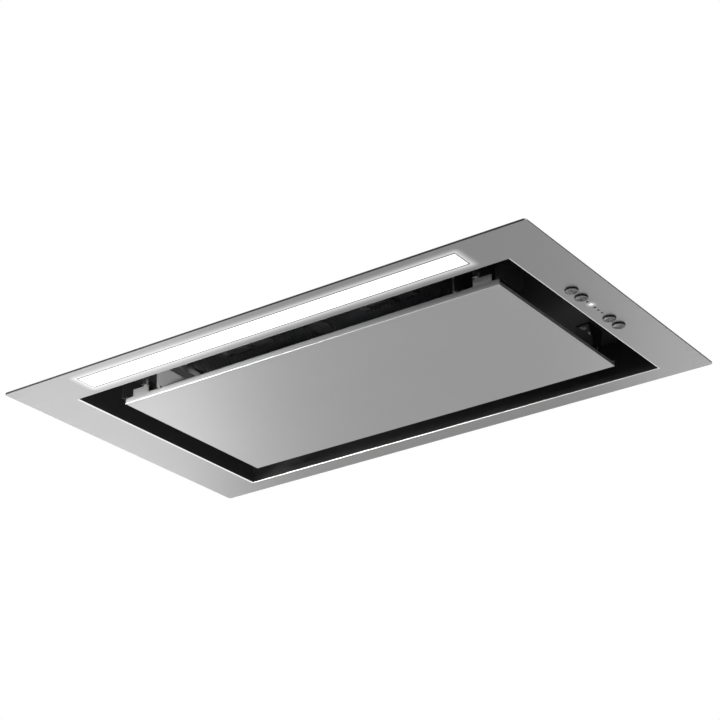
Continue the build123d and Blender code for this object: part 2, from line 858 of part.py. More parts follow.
def filter_rails():
    """Front and back rails on the ceiling, slotted for the latches and the tongues."""
    half = filter_w + filter_space / 2
    z = filter_low + filter_sheet + latch_lift
    parts = []
    for sign, edge in ((-1, filter_y0), (1, filter_y1)):
        y0 = edge + sign * rail_gap
        y1 = y0 + sign * rail_t
        rail = block(works_x - half, works_x + half, y0, y1, filter_low + 1, cavity_h)
        rail += block(works_x - half, works_x + half, y0, y1 + sign * rail_foot, cavity_h - rail_t, cavity_h)
        for x in filter_xs:
            offs = (0,) if sign < 0 else (-tongue_off, tongue_off)
            wide = latch_tongue_w if sign < 0 else tongue_w
            for off in offs:
                rail -= block(
                    x + off - wide / 2 - tongue_gap, x + off + wide / 2 + tongue_gap,
                    y0 - sign, y1 + sign, z - tongue_gap, z + tongue_t + tongue_gap,
                )
        for sx, sy in rail_spots():
            rail -= screw_hole(sx, sy, cavity_h - rail_t - 1, cavity_h + 1)
        parts.append(rail)
    return Compound(children=parts)


def lamp_block(w, d, z0, z1):
    """Block centred on the lamp."""
    return block(works_x - w / 2, works_x + w / 2, lamp_y - d / 2, lamp_y + d / 2, z0, z1)


def lamp_diffuser():
    lens = lamp_block(lamp_w - 2 * lamp_gap, lamp_d - 2 * lamp_gap, 0, frame_t)
    return lens + lamp_block(lamp_w + 2 * lens_flange, lamp_d + 2 * lens_ledge, frame_t, frame_t + lens_t)


def lamp_housing():
    """Folded tray over the lens; its rim is rebated for the lens's flange."""
    wide = lamp_w + 2 * lens_flange + 2 * lens_room
    deep = lamp_d + 2 * lens_ledge + 2 * lens_room
    shell = lamp_block(wide + 2 * lamp_wall, deep + 2 * lamp_wall, frame_t, lamp_top)
    shell -= lamp_block(wide, deep, frame_t - 1, frame_t + lens_t)
    return shell - lamp_block(
        wide - 2 * lamp_shoulder, deep - 2 * lamp_shoulder, frame_t, lamp_top - lamp_wall)


def lamp_board():
    top = lamp_top - lamp_wall
    low = top - lamp_board_t
    board = block(
        works_x - lamp_w / 2 + lamp_board_in, works_x + lamp_w / 2 - lamp_board_in,
        lamp_y - lamp_board_w / 2, lamp_y + lamp_board_w / 2, low, top,
    )
    pitch = lamp_w / diode_count
    for i in range(diode_count):
        x = works_x + (i - (diode_count - 1) / 2) * pitch
        half = diode_size / 2
        board += block(x - half, x + half, lamp_y - half, lamp_y + half, low - diode_t, low)
    return board


def lamp_driver():
    """Power supply on the lamp's back, with a slotted ear at each end."""
    x = works_x - lamp_w / 2 + driver_from_end
    z0, z1 = lamp_top, lamp_top + driver_h
    part = block(x - driver_w / 2, x + driver_w / 2, lamp_y - driver_d / 2, lamp_y + driver_d / 2, z0, z1)
    part = chamfer(part.faces().sort_by(Axis.Z)[-1].edges(), driver_edge)
    for side in (-1, 1):
        root = x + side * driver_w / 2
        ear = block(root, root + side * ear_l, lamp_y - ear_w / 2, lamp_y + ear_w / 2, z0, z0 + ear_t)
        ear -= block(
            root + side * ear_l * 0.4, root + side * (ear_l + 1), lamp_y - ear_slot / 2, lamp_y + ear_slot / 2,
            z0 - 1, z0 + ear_t + 1,
        )
        part += ear
    return part


def push_button(y):
    """Dished metal cap turned about its axis, on a square carrier with a stem."""
    r = button_d / 2
    low = -button_proud
    cap = Polyline(
        (0, low + dish_depth), (r - button_rim, low + dish_depth), (r - button_rim, low), (r, low),
        (r, flange_z), (0, flange_z), close=True,
    )
    part = Pos(button_x, y, 0) * revolve(Plane.XZ * make_face(cap), axis=Axis.Z)
    wide, thin = button_flange_w / 2, stem_w / 2
    part += block(button_x - wide, button_x + wide, y - wide, y + wide, flange_z, flange_z + button_flange_t)
    return part + block(button_x - thin, button_x + thin, y - thin, y + thin, flange_z, stem_top)


def control_switches():
    parts = []
    for y in button_ys:
        half = switch_size / 2
        bore = stem_w / 2 + switch_bore_gap
        body = block(button_x - half, button_x + half, y - half, y + half, switch_low, board_low)
        body -= block(
            button_x - bore, button_x + bore, y - bore, y + bore, switch_low - 1, switch_low + bore_depth,
        )
        parts.append(body)
    return Compound(children=parts)


def indicator_light_pipe():
    """One clear moulding: five round ends under a bar, which stands on the frame on two legs."""
    top = board_low - control_diode_t - light_air
    bar_z = top - light_bar_t
    half = (light_count - 1) / 2 * light_pitch + light_bar_w * 0.75
    wide, leg = light_bar_w / 2, light_leg_w / 2
    part = block(button_x - wide, button_x + wide, light_y - half, light_y + half, bar_z, top)
    for y in light_ys:
        part += rod(button_x, y, frame_t * 0.2, bar_z, light_hole_d / 2 - light_gap)
    for side in (-1, 1):
        y = light_y + side * (half - leg)
        part += block(button_x - leg, button_x + leg, y - leg, y + leg, frame_t, bar_z)
    return part


def control_board():
    margin = control_wall + control_board_gap
    part = block(
        control_x0 + margin, control_x1 - margin, control_y0 + margin, control_y1 - margin,
        board_low, board_low + control_board_t,
    )
    for y in light_ys:
        half = control_diode / 2
        part += block(
            button_x - half, button_x + half, y - half, y + half, board_low - control_diode_t, board_low,
        )
    top = board_low + control_board_t
    x, end = button_x, control_y1 - plug_in
    part += block(
        x - chip_w / 2, x + chip_w / 2, light_y - chip_d / 2, light_y + chip_d / 2, top, top + chip_h)
    return part + block(x - plug_w / 2, x + plug_w / 2, end - plug_d, end, top, top + plug_h)


def control_box():
    """Moulded cover over the switches; its posts hold the board down and a slot lets the wires out."""
    shell = block(control_x0, control_x1, control_y0, control_y1, frame_t, control_top)
    shell -= block(
        control_x0 + control_wall, control_x1 - control_wall,
        control_y0 + control_wall, control_y1 - control_wall, frame_t - 1, control_top - control_wall,
    )
    back = control_x1 - control_wall
    for share in (0.1, 0.65, 0.8):
        y = control_y0 + control_box_len * share
        shell += block(
            back - control_post_w, back, y - control_post_w / 2, y + control_post_w / 2,
            board_low + control_board_t, control_top - control_wall,
        )
    middle = (control_x0 + control_x1) / 2
    return shell - block(
        middle - control_slot_w / 2, middle + control_slot_w / 2, control_y1 - control_wall - 1, control_y1 + 1,
        board_low + control_board_t, board_low + control_board_t + control_slot_h,
    )


def cabinet_spots():
    """Holes for screws into the cabinet's side boards: (side, y)."""
    return [(side, side_fixing_y + k * cabinet_hole_off) for side in (-1, 1) for k in (-1, 1)]


def wire_slot(z0, z1):
    """Way for the wires between the lower body and the electronics box."""
    x, y = box_x + box_w * 0.85, box_y - box_d * 0.3
    return block(x - wire_slot_w / 2, x + wire_slot_w / 2, y - wire_slot_d / 2, y + wire_slot_d / 2, z0, z1)


def tower_spots():
    """Screws that hold the tower's flange to the lower body: (x, y)."""
    x = tower_w / 2 + tower_flange / 2
    front, back = tower_y0 - tower_flange / 2, tower_y1 + tower_flange / 2
    spots = [(side * x, tower_y + k * tower_d * 0.35) for side in (-1, 1) for k in (-1, 1)]
    return spots + [(0, front), (0, back)]


def lower_body():
    shell = block(-body_w / 2, body_w / 2, -body_d / 2, body_d / 2, frame_t, body_top)
    shell = fillet(shell.edges().filter_by(Axis.Z), body_corner_r)
    shell -= block(
        -body_w / 2 + sheet, body_w / 2 - sheet, -body_d / 2 + sheet, body_d / 2 - sheet,
        frame_t - 1, body_top - sheet,
    )
    shell -= block(
        tower_x0 + air_lip, -tower_x0 - air_lip, tower_y0 + air_lip, tower_y1 - air_lip,
        body_top - sheet - 1, body_top + 1,
    )
    for side, y in cabinet_spots():
        shell -= rod_x(side * (body_w / 2 - 5), side * (body_w / 2 + 5), y, cabinet_hole_z, cabinet_hole_r)
    for x, y in tower_spots():
        shell -= screw_hole(x, y, body_top - sheet - 1, body_top + 1)
    return shell - wire_slot(body_top - sheet - 1, body_top + 1)


def collar_spots():
    """Screws that hold the collar, the tower's top and the adaptor together: (x, y)."""
    off = collar_flange_w / 2 - collar_screw_in
    return [(a * off, outlet_y + b * off) for a in (-1, 1) for b in (-1, 1)]


def motor_tower():
    x1 = tower_w / 2
    base = body_top
    shell = block(tower_x0, x1, tower_y0, tower_y1, base, tower_top)
    shell = fillet(shell.edges().filter_by(Axis.Z), tower_corner_r)
    flange = slab(
        0, tower_y, base, tower_w + 2 * tower_flange, tower_d + 2 * tower_flange, sheet, tower_corner_r,
    )
    room = block(
        tower_x0 + sheet, x1 - sheet, tower_y0 + sheet, tower_y1 - sheet, base - 1, tower_top - sheet,
    )
    room = fillet(room.edges().filter_by(Axis.Z), tower_corner_r - sheet)
    part = shell + flange - room
    mid_z = (base + tower_top) / 2
    for sign, y in ((-1, tower_y0), (1, tower_y1)):
        inset = y - sign * (recess_depth + sheet)
        part += block(
            -recess_w / 2 - sheet, recess_w / 2 + sheet, y - sign * sheet / 2, inset,
            mid_z - recess_h / 2 - sheet, mid_z + recess_h / 2 + sheet,
        )
        part -= block(
            -recess_w / 2, recess_w / 2, y + sign, y - sign * recess_depth,
            mid_z - recess_h / 2, mid_z + recess_h / 2,
        )
    part -= rod(0, outlet_y, tower_top - sheet - 1, tower_top + 1, spigot_r - spigot_wall)
    for x, y in tower_spots():
        part -= screw_hole(x, y, base - 1, base + sheet + 1)
    for x, y in collar_spots():
        part -= screw_hole(x, y, tower_top - sheet - 1, tower_top + 1)
    return part


def spiral_point(angle, grow):
    """Point of the scroll's outline, offset outwards by grow."""
    share = (angle - scroll_cut) / (360 - scroll_cut)
    r = scroll_start_r + (scroll_end_r - scroll_start_r) * share + grow
    return (r * cos(radians(angle)), r * sin(radians(angle)))


def scroll_outline(grow, top):
    """Spiral by arcs, then straight up to the outlet."""
    stops = (scroll_cut, 130, 190, 250, 305, 360)
    edges = []
    for a, b in zip(stops, stops[1:]):
        edges.append(ThreePointArc(
            spiral_point(a, grow), spiral_point((a + b) / 2, grow), spiral_point(b, grow)))
    start = spiral_point(scroll_cut, grow)
    end = spiral_point(360, grow)
    left = scroll_end_r - outlet_d - grow
    edges.append(Polyline(end, (end[0], top), (left, top), start))
    return Plane.YZ * make_face(edges)


def scroll_half(side):
    """One half of the blower's housing, split across the wheel's middle."""
    top = outlet_z - axle_z
    half = scroll_w / 2 + scroll_wall
    def run(face, width):
        return extrude(face, amount=side * width)
    part = run(scroll_outline(scroll_wall, top), half)
    part += block(
        0, side * (half + outlet_flange),
        scroll_outlet_y - outlet_d / 2 - outlet_flange, scroll_outlet_y + outlet_d / 2 + outlet_flange,
        top - scroll_wall, top,
    )
    part += rod_x(side * half / 2, side * (half + inlet_lip), 0, 0, scroll_inlet_r + scroll_wall)
    part -= run(scroll_outline(0, top + 1), scroll_w / 2)
    part -= rod_x(0, side * (half + inlet_lip + 1), 0, 0, scroll_inlet_r)
    return Pos(0, axle_y, axle_z) * part


def outlet_adaptor():
    """Tapered box between the scroll's mouth and the tower's top, with a flange at both ends."""
    low, high = outlet_z, tower_top - sheet
    mouth_y = axle_y + scroll_outlet_y
    neck = spigot_r - spigot_wall
    def taper(grow):
        a, b = scroll_w / 2 + grow, neck + grow
        wide = Plane.XZ * make_face(Polyline((-a, low), (a, low), (b, high), (-b, high), close=True))
        c, d = outlet_d / 2 + grow, neck + grow
        deep = [(mouth_y - c, low), (mouth_y + c, low), (outlet_y + d, high), (outlet_y - d, high)]
        return prism_x(deep, -2 * b, 2 * b) & extrude(wide, amount=frame_d, both=True)
    out = scroll_wall + outlet_flange
    flange = Pos(0, mouth_y, low) * extrude(
        Rectangle(scroll_w + 2 * out, outlet_d + 2 * out), amount=scroll_wall)
    top = Pos(0, outlet_y, high - scroll_wall) * extrude(
        Rectangle(collar_flange_w, collar_flange_w), amount=scroll_wall)
    part = taper(scroll_wall) + flange + top - taper(0)
    for x, y in collar_spots():
        part -= screw_hole(x, y, high - scroll_wall - 1, high + 1)
    return part


def impeller_hub():
    """Middle disc that carries the blades, with its hub."""
    part = rod_x(-disc_t / 2, disc_t / 2, 0, 0, wheel_in_r + blade_in)
    part += rod_x(-hub_w / 2, hub_w / 2, 0, 0, hub_r)
    return Pos(0, axle_y, axle_z) * (part - rod_x(-hub_w, hub_w, 0, 0, shaft_r))


def impeller_rings():
    parts = []
    for x in (-wheel_w / 2, wheel_w / 2 - ring_t):
        ring = rod_x(x, x + ring_t, 0, 0, wheel_r) - rod_x(x - 1, x + ring_t + 1, 0, 0, wheel_in_r)
        parts.append(Pos(0, axle_y, axle_z) * ring)
    return Compound(children=parts)


def impeller_blades():
    """Forward-bent blades between the two rings."""
    def at(r, a):
        return (r * cos(radians(a)), r * sin(radians(a)))
    root_r, tip_r = wheel_in_r + blade_in, wheel_r - blade_in
    bend_r = (root_r + tip_r) / 2
    turn = degrees(blade_t / bend_r)
    bend = blade_sweep * 0.25
    outline = make_face(Polyline(
        at(root_r, 0), at(bend_r, bend), at(tip_r, blade_sweep), at(tip_r, blade_sweep + turn),
        at(bend_r, bend + turn), at(root_r, turn), close=True,
    ))
    length = wheel_w - 2 * ring_t
    blade = Pos(-length / 2, 0, 0) * extrude(Plane.YZ * outline, amount=length)
    return Compound(children=[
        Pos(0, axle_y, axle_z) * Rot(360 / blade_count * i, 0, 0) * blade for i in range(blade_count)])


def motor_shaft():
    return rod_x(motor_in - motor_l * 0.55, hub_w / 2 + shaft_end, axle_y, axle_z, shaft_r)


def motor():
    """Motor can with cooling slots along it and a bearing boss on the wheel's side."""
    x1, x0 = motor_in, motor_in - motor_l
    can = rod_x(x0, x1, 0, 0, motor_r) + rod_x(x1, x1 + boss_h, 0, 0, boss_r)
    for i in range(motor_slots):
        slot = block(
            x0 + motor_slot_in, x1 - motor_slot_in, motor_r - motor_slot_depth, motor_r + 1,
            -motor_slot_w / 2, motor_slot_w / 2,
        )
        can -= Rot(360 / motor_slots * i, 0, 0) * slot
    can -= rod_x(x1 - motor_l * 0.6, x1 + boss_h + 1, 0, 0, shaft_r + shaft_gap)
    return Pos(0, axle_y, axle_z) * can


def grommet_places():
    return [
        (axle_y + grommet_ring_r * cos(radians(a)), axle_z + grommet_ring_r * sin(radians(a)))
        for a in (90, 210, 330)
    ]


def motor_grommets():
    """Rubber pads between the motor's back and its bracket."""
    x1 = motor_in - motor_l
    return Compound(children=[rod_x(x1 - grommet_t, x1, y, z, grommet_r) for y, z in grommet_places()])


def motor_bracket():
    """Plate behind the motor on three bent legs, which stand round the scroll's inlet."""
    wall_x = -scroll_w / 2 - scroll_wall
    back_x = motor_in - motor_l - grommet_t
    t = motor_bracket_t
    leg_r = scroll_inlet_r + scroll_wall + bracket_leg_gap
    part = rod_x(back_x - t, back_x, 0, 0, motor_bracket_hub_r)
    half = bracket_arm_w / 2
    for a in (90, 210, 330):
        leg = block(back_x - t, wall_x, leg_r, leg_r + t, -half, half)
        leg += block(back_x - t, back_x, motor_bracket_hub_r * 0.8, leg_r + t, -half, half)
        leg += block(wall_x - t, wall_x, leg_r, leg_r + t + bracket_leg_foot, -half, half)
        part += Rot(a, 0, 0) * leg
    return Pos(0, axle_y, axle_z) * part


def outlet_collar():
    """Round spigot on a square flange; the step inside is what the closed flaps rest on."""
    z0 = tower_top
    inner = spigot_r - spigot_wall
    half = collar_flange_w / 2
    part = block(-half, half, -half, half, z0, z0 + collar_flange_t)
    part += rod(0, 0, z0, z0 + spigot_h, spigot_r)
    part -= rod(0, 0, z0 + stop_z, z0 + spigot_h + 1, inner)
    part -= rod(0, 0, z0 - 1, z0 + stop_z + 1, inner - stop_w)
    part -= rod_x(-spigot_r - 1, spigot_r + 1, 0, z0 + damper_pin_z, damper_pin_r)
    part = Pos(0, outlet_y, 0) * part
    for x, y in collar_spots():
        part -= screw_hole(x, y, z0 - 1, z0 + collar_flange_t + 1)
    return part


def damper_pin():
    return rod_x(-spigot_r, spigot_r, outlet_y, tower_top + damper_pin_z, damper_pin_r)


def knuckle_spans(which):
    """Stretches of the pin that one flap's knuckles take: two each, side by side at both ends."""
    start = spigot_r - spigot_wall - knuckle_in - (knuckle_w + knuckle_space) * which
    return [(side * start, side * (start - knuckle_w)) for side in (-1, 1)]


def damper_flap(sign):
    """Half-round flap; sign is -1 for the front one, 1 for the back one."""
    pin_height = damper_pin_z
    low = stop_z + flap_rest_gap
    disc_r = spigot_r - spigot_wall - flap_gap
    part = rod(0, 0, low, low + flap_t, disc_r)
    part &= block(-disc_r, disc_r, sign * flap_split, sign * (disc_r + 1), low - 1, low + flap_t + 1)
    for x0, x1 in knuckle_spans(0 if sign < 0 else 1):
        part += block(x0, x1, 0, sign * flap_split * 2, low, low + flap_t)
        part += block(x0, x1, -knuckle_r, knuckle_r, low, pin_height + knuckle_r)
    part -= rod_x(-disc_r, disc_r, 0, pin_height, damper_pin_r + damper_pin_gap)
    part += block(
        -rib_t / 2, rib_t / 2, sign * flap_split * 2, sign * disc_r * 0.85, low + flap_t, low + flap_t + rib_t,
    )
    return Pos(0, outlet_y, tower_top) * part


def electronics_box():
    x0, x1 = box_x, box_x + box_w
    y0, y1 = box_y - box_d / 2, box_y + box_d / 2
    z0, z1 = body_top, body_top + box_h
    part = block(x0, x1, y0, y1, z0, z1)
    part = fillet(part.edges().filter_by(Axis.Z), box_corner_r)
    part -= block(x0 + box_wall, x1 - box_wall, y0 + box_wall, y1 - box_wall, z0 + box_wall, z1 + 1)
    for x, y in board_posts():
        part += block(
            x - post_w / 2, x + post_w / 2, y - post_w / 2, y + post_w / 2, z0 + box_wall,
            z0 + box_wall + post_h,
        )
    part -= rod_y(x0 + gland_from_side, y1 - box_wall - 1, y1 + 1, z0 + box_h / 2, gland_r)
    return part - wire_slot(z0 - 1, z0 + box_wall + 1)


def board_posts():
    """Posts under the power board's corners: (x, y)."""
    xs = (power_board_x + post_w, power_board_x + power_board_w - post_w)
    ys = (power_board_y + post_w, power_board_y + power_board_l - post_w)
    return [(x, y) for x in xs for y in ys]


def electronics_cover():
    """Lid with a lip that clips inside the box, and cooling slots."""
    x0, x1 = box_x, box_x + box_w
    y0, y1 = box_y - box_d / 2, box_y + box_d / 2
    z = body_top + box_h
    part = block(x0, x1, y0, y1, z, z + box_wall)
    part = fillet(part.edges().filter_by(Axis.Z), box_corner_r)
    edge = box_wall + cover_gap
    lip = block(x0 + edge, x1 - edge, y0 + edge, y1 - edge, z - cover_lip, z)
    edge += box_wall
    part += lip - block(x0 + edge, x1 - edge, y0 + edge, y1 - edge, z - cover_lip - 1, z)
    mid = (x0 + x1) / 2
    for k in range(cover_slots):
        y = box_y + (k - (cover_slots - 1) / 2) * cover_slot_pitch
        part -= block(
            mid - cover_slot_l / 2, mid + cover_slot_l / 2, y - cover_slot_w / 2, y + cover_slot_w / 2,
            z - 1, z + box_wall + 1,
        )
    return part


def power_board():
    """Board with four relays, a transformer and a smoothing capacitor."""
    x0, y0 = power_board_x, power_board_y
    z = body_top + box_wall + post_h
    top = z + power_board_t
    part = block(x0, x0 + power_board_w, y0, y0 + power_board_l, z, top)
    for k in range(4):
        y = y0 + power_board_l * (0.14 + 0.21 * k)
        x = x0 + power_board_w * 0.18
        part += block(x, x + relay_w, y, y + relay_d, top, top + relay_h)
    x, y = x0 + power_board_w * 0.52, y0 + power_board_l * 0.16
    part += block(x, x + transformer_w, y, y + transformer_w, top, top + transformer_h)
    return part + rod(x0 + power_board_w * 0.7, y0 + power_board_l * 0.7, top, top + smoother_h, smoother_r)


def run_capacitor():
    """Motor's capacitor, a round can lying on its clip."""
    x = box_x + box_w - box_wall - capacitor_r - capacitor_gap
    y0 = box_y - capacitor_l * 0.3
    z = body_top + box_wall + capacitor_r
    can = rod_y(x, y0, y0 + capacitor_l, z, capacitor_r)
    half = capacitor_r * 0.55
    foot = block(
        x - half, x + half, y0 + capacitor_l * 0.15, y0 + capacitor_l * 0.85, body_top + box_wall,
        z - capacitor_r * 0.6,
    )
    return can + foot


def terminal_block():
    """Four-way block: a screw pocket on top and a wire's way in at the front of each."""
    x0 = power_board_x + power_board_w * 0.4
    y0 = box_y + box_d / 2 - box_wall - terminal_w - terminal_from_wall
    z0 = body_top + box_wall
    part = block(x0, x0 + terminal_d, y0, y0 + terminal_w, z0, z0 + terminal_h)
    pitch = terminal_d / terminal_ways
    half = pitch * 0.25
    for i in range(terminal_ways):
        x = x0 + (i + 0.5) * pitch
        part -= block(
            x - half, x + half, y0 + terminal_w * 0.4, y0 + terminal_w * 0.6, z0 + terminal_h * 0.6,
            z0 + terminal_h + 1,
        )
        part -= block(
            x - half, x + half, y0 - 1, y0 + terminal_w * 0.3, z0 + terminal_h * 0.2, z0 + terminal_h * 0.5,
        )
    return part


def cable_gland():
    """Threaded sleeve with a nut on each side of the wall and a clamping end."""
    x = box_x + gland_from_side
    y1 = box_y + box_d / 2
    z = body_top + box_h / 2
    part = rod_y(x, y1 - box_wall, y1, z, gland_r)
    part += rod_y(x, y1 + gland_nut_t, y1 + gland_l, z, gland_end_r)
    for back in (y1 - box_wall, y1 + gland_nut_t):
        part += Pos(x, back, z) * Rot(90, 0, 0) * extrude(RegularPolygon(gland_nut_r, 6), amount=gland_nut_t)
    return part - rod_y(x, y1 - box_wall - gland_nut_t - 1, y1 + gland_l + 1, z, gland_bore_r)


def cabinet_clips():
    """Leaf springs on the body's short sides, which hold the hood in its cut-out."""
    parts = []
    for side in (-1, 1):
        wall = body_w / 2
        def out(a, z):
            return (side * (wall + a), z)
        for k in (-1, 1):
            y = side_fixing_y + k * clip_off
            mid, low, bend = clip_z - clip_drop * 0.5, clip_z - clip_drop, clip_z - clip_straight
            outer = [
                Line(out(0, clip_z), out(0, bend)),
                ThreePointArc(out(0, bend), out(clip_bulge, mid), out(clip_toe, low)),
            ]
            inner = [
                ThreePointArc(
                    out(clip_toe + clip_t, low), out(clip_bulge + clip_t, mid), out(clip_t, bend)),
                Line(out(clip_t, bend), out(clip_t, clip_z)),
            ]
            ends = [
                Line(out(clip_toe, low), out(clip_toe + clip_t, low)),
                Line(out(clip_t, clip_z), out(0, clip_z)),
            ]
            face = Plane.XZ * make_face(outer + inner + ends)
            parts.append(Pos(0, y + clip_w / 2, 0) * extrude(face, amount=clip_w))
    return Compound(children=parts)


def cavity_screws():
    parts = [screw(x, y, cavity_h - bracket_t, -1) for x, y in hinge_spots()]
    parts += [screw(x, y, cavity_h - rail_t, -1) for x, y in rail_spots()]
    for x, z in catch_spots():
        y = cavity_front + catch_t
        parts.append(Pos(x, y, z) * Rot(90, 0, 0) * screw(0, 0, 0, -1))
    return Compound(children=parts)


def tower_screws():
    return Compound(children=[screw(x, y, body_top + sheet, 1) for x, y in tower_spots()])


def collar_screws():
    z = tower_top + collar_flange_t
    return Compound(children=[screw(x, y, z, 1) for x, y in collar_spots()])


nodes = {
    "face_frame": face_frame(),
    "cavity_liner": cavity_liner(),
    "catch_bracket_left": catch_bracket(-1),
    "catch_bracket_right": catch_bracket(1),
    "spring_catch_left": spring_catch(-1),
    "spring_catch_right": spring_catch(1),
    "hinge_bracket_left": hinge_bracket(-1),
    "hinge_bracket_right": hinge_bracket(1),
    "hinge_pins": hinge_pins(),
    "panel_skin": panel_skin(),
    "panel_tray": panel_tray(),
    "strike_left": strike(-1),
    "strike_right": strike(1),
    "hinge_arm_left": hinge_arm(-1),
    "hinge_arm_right": hinge_arm(1),
    "filter_frame_left": filter_frame(filter_xs[0]),
    "filter_frame_right": filter_frame(filter_xs[1]),
    "filter_mesh_left": filter_mesh(filter_xs[0]),
    "filter_mesh_right": filter_mesh(filter_xs[1]),
    "filter_latch_left": filter_latch(filter_xs[0]),
    "filter_latch_right": filter_latch(filter_xs[1]),
    "filter_rails": filter_rails(),
    "lamp_diffuser": lamp_diffuser(),
    "lamp_housing": lamp_housing(),
    "lamp_board": lamp_board(),
    "lamp_driver": lamp_driver(),
    "control_switches": control_switches(),
    "indicator_light_pipe": indicator_light_pipe(),
    "control_board": control_board(),
    "control_box": control_box(),
    "lower_body": lower_body(),
    "motor_tower": motor_tower(),
    "scroll_left": scroll_half(-1),
    "scroll_right": scroll_half(1),
    "outlet_adaptor": outlet_adaptor(),
    "impeller_hub": impeller_hub(),
    "impeller_rings": impeller_rings(),
    "impeller_blades": impeller_blades(),
    "motor_shaft": motor_shaft(),
    "motor": motor(),
    "motor_grommets": motor_grommets(),
    "motor_bracket": motor_bracket(),
    "outlet_collar": outlet_collar(),
    "damper_pin": damper_pin(),
    "damper_flap_front": damper_flap(-1),
    "damper_flap_back": damper_flap(1),
    "electronics_box": electronics_box(),
    "electronics_cover": electronics_cover(),
    "power_board": power_board(),
    "run_capacitor": run_capacitor(),
    "terminal_block": terminal_block(),
    "cable_gland": cable_gland(),
    "cabinet_clips": cabinet_clips(),
    "cavity_screws": cavity_screws(),
    "tower_screws": tower_screws(),
    "collar_screws": collar_screws(),
}
for i, y in enumerate(button_ys):
    nodes["push_button_%d" % (i + 1)] = push_button(y)

for name, shape in nodes.items():
    export_step(shape, "parts/%s.step" % name)
print(len(nodes), "nodes")
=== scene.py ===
import json
import math

import bmesh
import bpy
from mathutils import Matrix, Vector


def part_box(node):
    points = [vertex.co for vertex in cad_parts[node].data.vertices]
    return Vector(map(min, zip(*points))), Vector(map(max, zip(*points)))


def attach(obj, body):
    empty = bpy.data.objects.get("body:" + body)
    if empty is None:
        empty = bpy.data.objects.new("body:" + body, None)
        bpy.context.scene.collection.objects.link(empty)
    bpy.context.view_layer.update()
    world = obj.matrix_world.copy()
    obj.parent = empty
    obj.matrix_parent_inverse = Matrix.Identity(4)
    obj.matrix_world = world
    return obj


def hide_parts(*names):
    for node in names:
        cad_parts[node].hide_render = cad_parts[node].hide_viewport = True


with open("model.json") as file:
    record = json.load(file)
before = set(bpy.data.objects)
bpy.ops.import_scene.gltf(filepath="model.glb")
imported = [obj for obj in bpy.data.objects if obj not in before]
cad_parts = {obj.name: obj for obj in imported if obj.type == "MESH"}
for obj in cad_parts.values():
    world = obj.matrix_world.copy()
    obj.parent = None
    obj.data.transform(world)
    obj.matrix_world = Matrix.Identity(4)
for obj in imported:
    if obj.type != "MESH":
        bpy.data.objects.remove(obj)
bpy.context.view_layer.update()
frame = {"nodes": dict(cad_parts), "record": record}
nodes = frame["nodes"]
mm = 0.001


# Camera, from the photograph: it looks up at the underside from the front right
cameraValues = {
    "eye": (1.2124, -1.7845, -0.9779),
    "azimuth": 34.05,
    "elevation": -24.94,
    "roll": -1.34,
    "lens": 99.9,
    "sensor": 36.0,
    "nearest": 0.05,
}


def makeCamera(values):
    az, el, roll = (math.radians(values[k]) for k in ("azimuth", "elevation", "roll"))
    back = Vector((math.sin(az) * math.cos(el), -math.cos(az) * math.cos(el), math.sin(el)))
    right = (-back).cross(Vector((0, 0, 1))).normalized()
    up = back.cross(right)
    tilt = Matrix.Rotation(roll, 3, back)
    data = bpy.data.cameras.new("camera")
    data.lens = values["lens"]
    data.sensor_width = values["sensor"]
    data.clip_start = values["nearest"]
    camera = bpy.data.objects.new("camera", data)
    bpy.context.scene.collection.objects.link(camera)
    axes = Matrix((tilt @ right, tilt @ up, tilt @ back)).transposed()
    camera.matrix_world = Matrix.Translation(values["eye"]) @ axes.to_4x4()
    bpy.context.scene.camera = camera


makeCamera(cameraValues)
print("camera is set")


# Small helpers for materials
def newMaterial(name):
    material = bpy.data.materials.new(name)
    material.use_nodes = True
    return material, material.node_tree, material.node_tree.nodes["Principled BSDF"]


def newGroup(name, inputs, outputs):
    tree = bpy.data.node_groups.new(name, "ShaderNodeTree")
    for socketName, kind, default in inputs:
        socket = tree.interface.new_socket(name=socketName, in_out="INPUT", socket_type=kind)
        socket.default_value = default
    for socketName, kind in outputs:
        tree.interface.new_socket(name=socketName, in_out="OUTPUT", socket_type=kind)
    return tree, tree.nodes.new("NodeGroupInput"), tree.nodes.new("NodeGroupOutput")


def useGroup(tree, group, **values):
    node = tree.nodes.new("ShaderNodeGroup")
    node.node_tree = group
    for key, value in values.items():
        node.inputs[key].default_value = value
    return node


def mathNode(tree, operation, first, second=0.0, third=None):
    node = tree.nodes.new("ShaderNodeMath")
    node.operation = operation
    for i, value in enumerate((first, second, third)):
        if value is None:
            continue
        if hasattr(value, "default_value"):
            tree.links.new(value, node.inputs[i])
        else:
            node.inputs[i].default_value = value
    return node.outputs[0]


def mixColour(tree, factor, first, second):
    node = tree.nodes.new("ShaderNodeMix")
    node.data_type = "RGBA"
    for socket, value in ((node.inputs[0], factor), (node.inputs[6], first), (node.inputs[7], second)):
        if hasattr(value, "default_value"):
            tree.links.new(value, socket)
        else:
            socket.default_value = value
    return node.outputs[2]


def grey(value, tint=(1.0, 1.0, 1.0)):
    return (value * tint[0], value * tint[1], value * tint[2], 1.0)


# Fine straight scratches along one axis, broader streaks and slow clouds, in place coordinates
brushValues = {"streakFineness": 0.16, "streakLength": 0.3, "detail": 2.0, "noiseRoughness": 0.6}


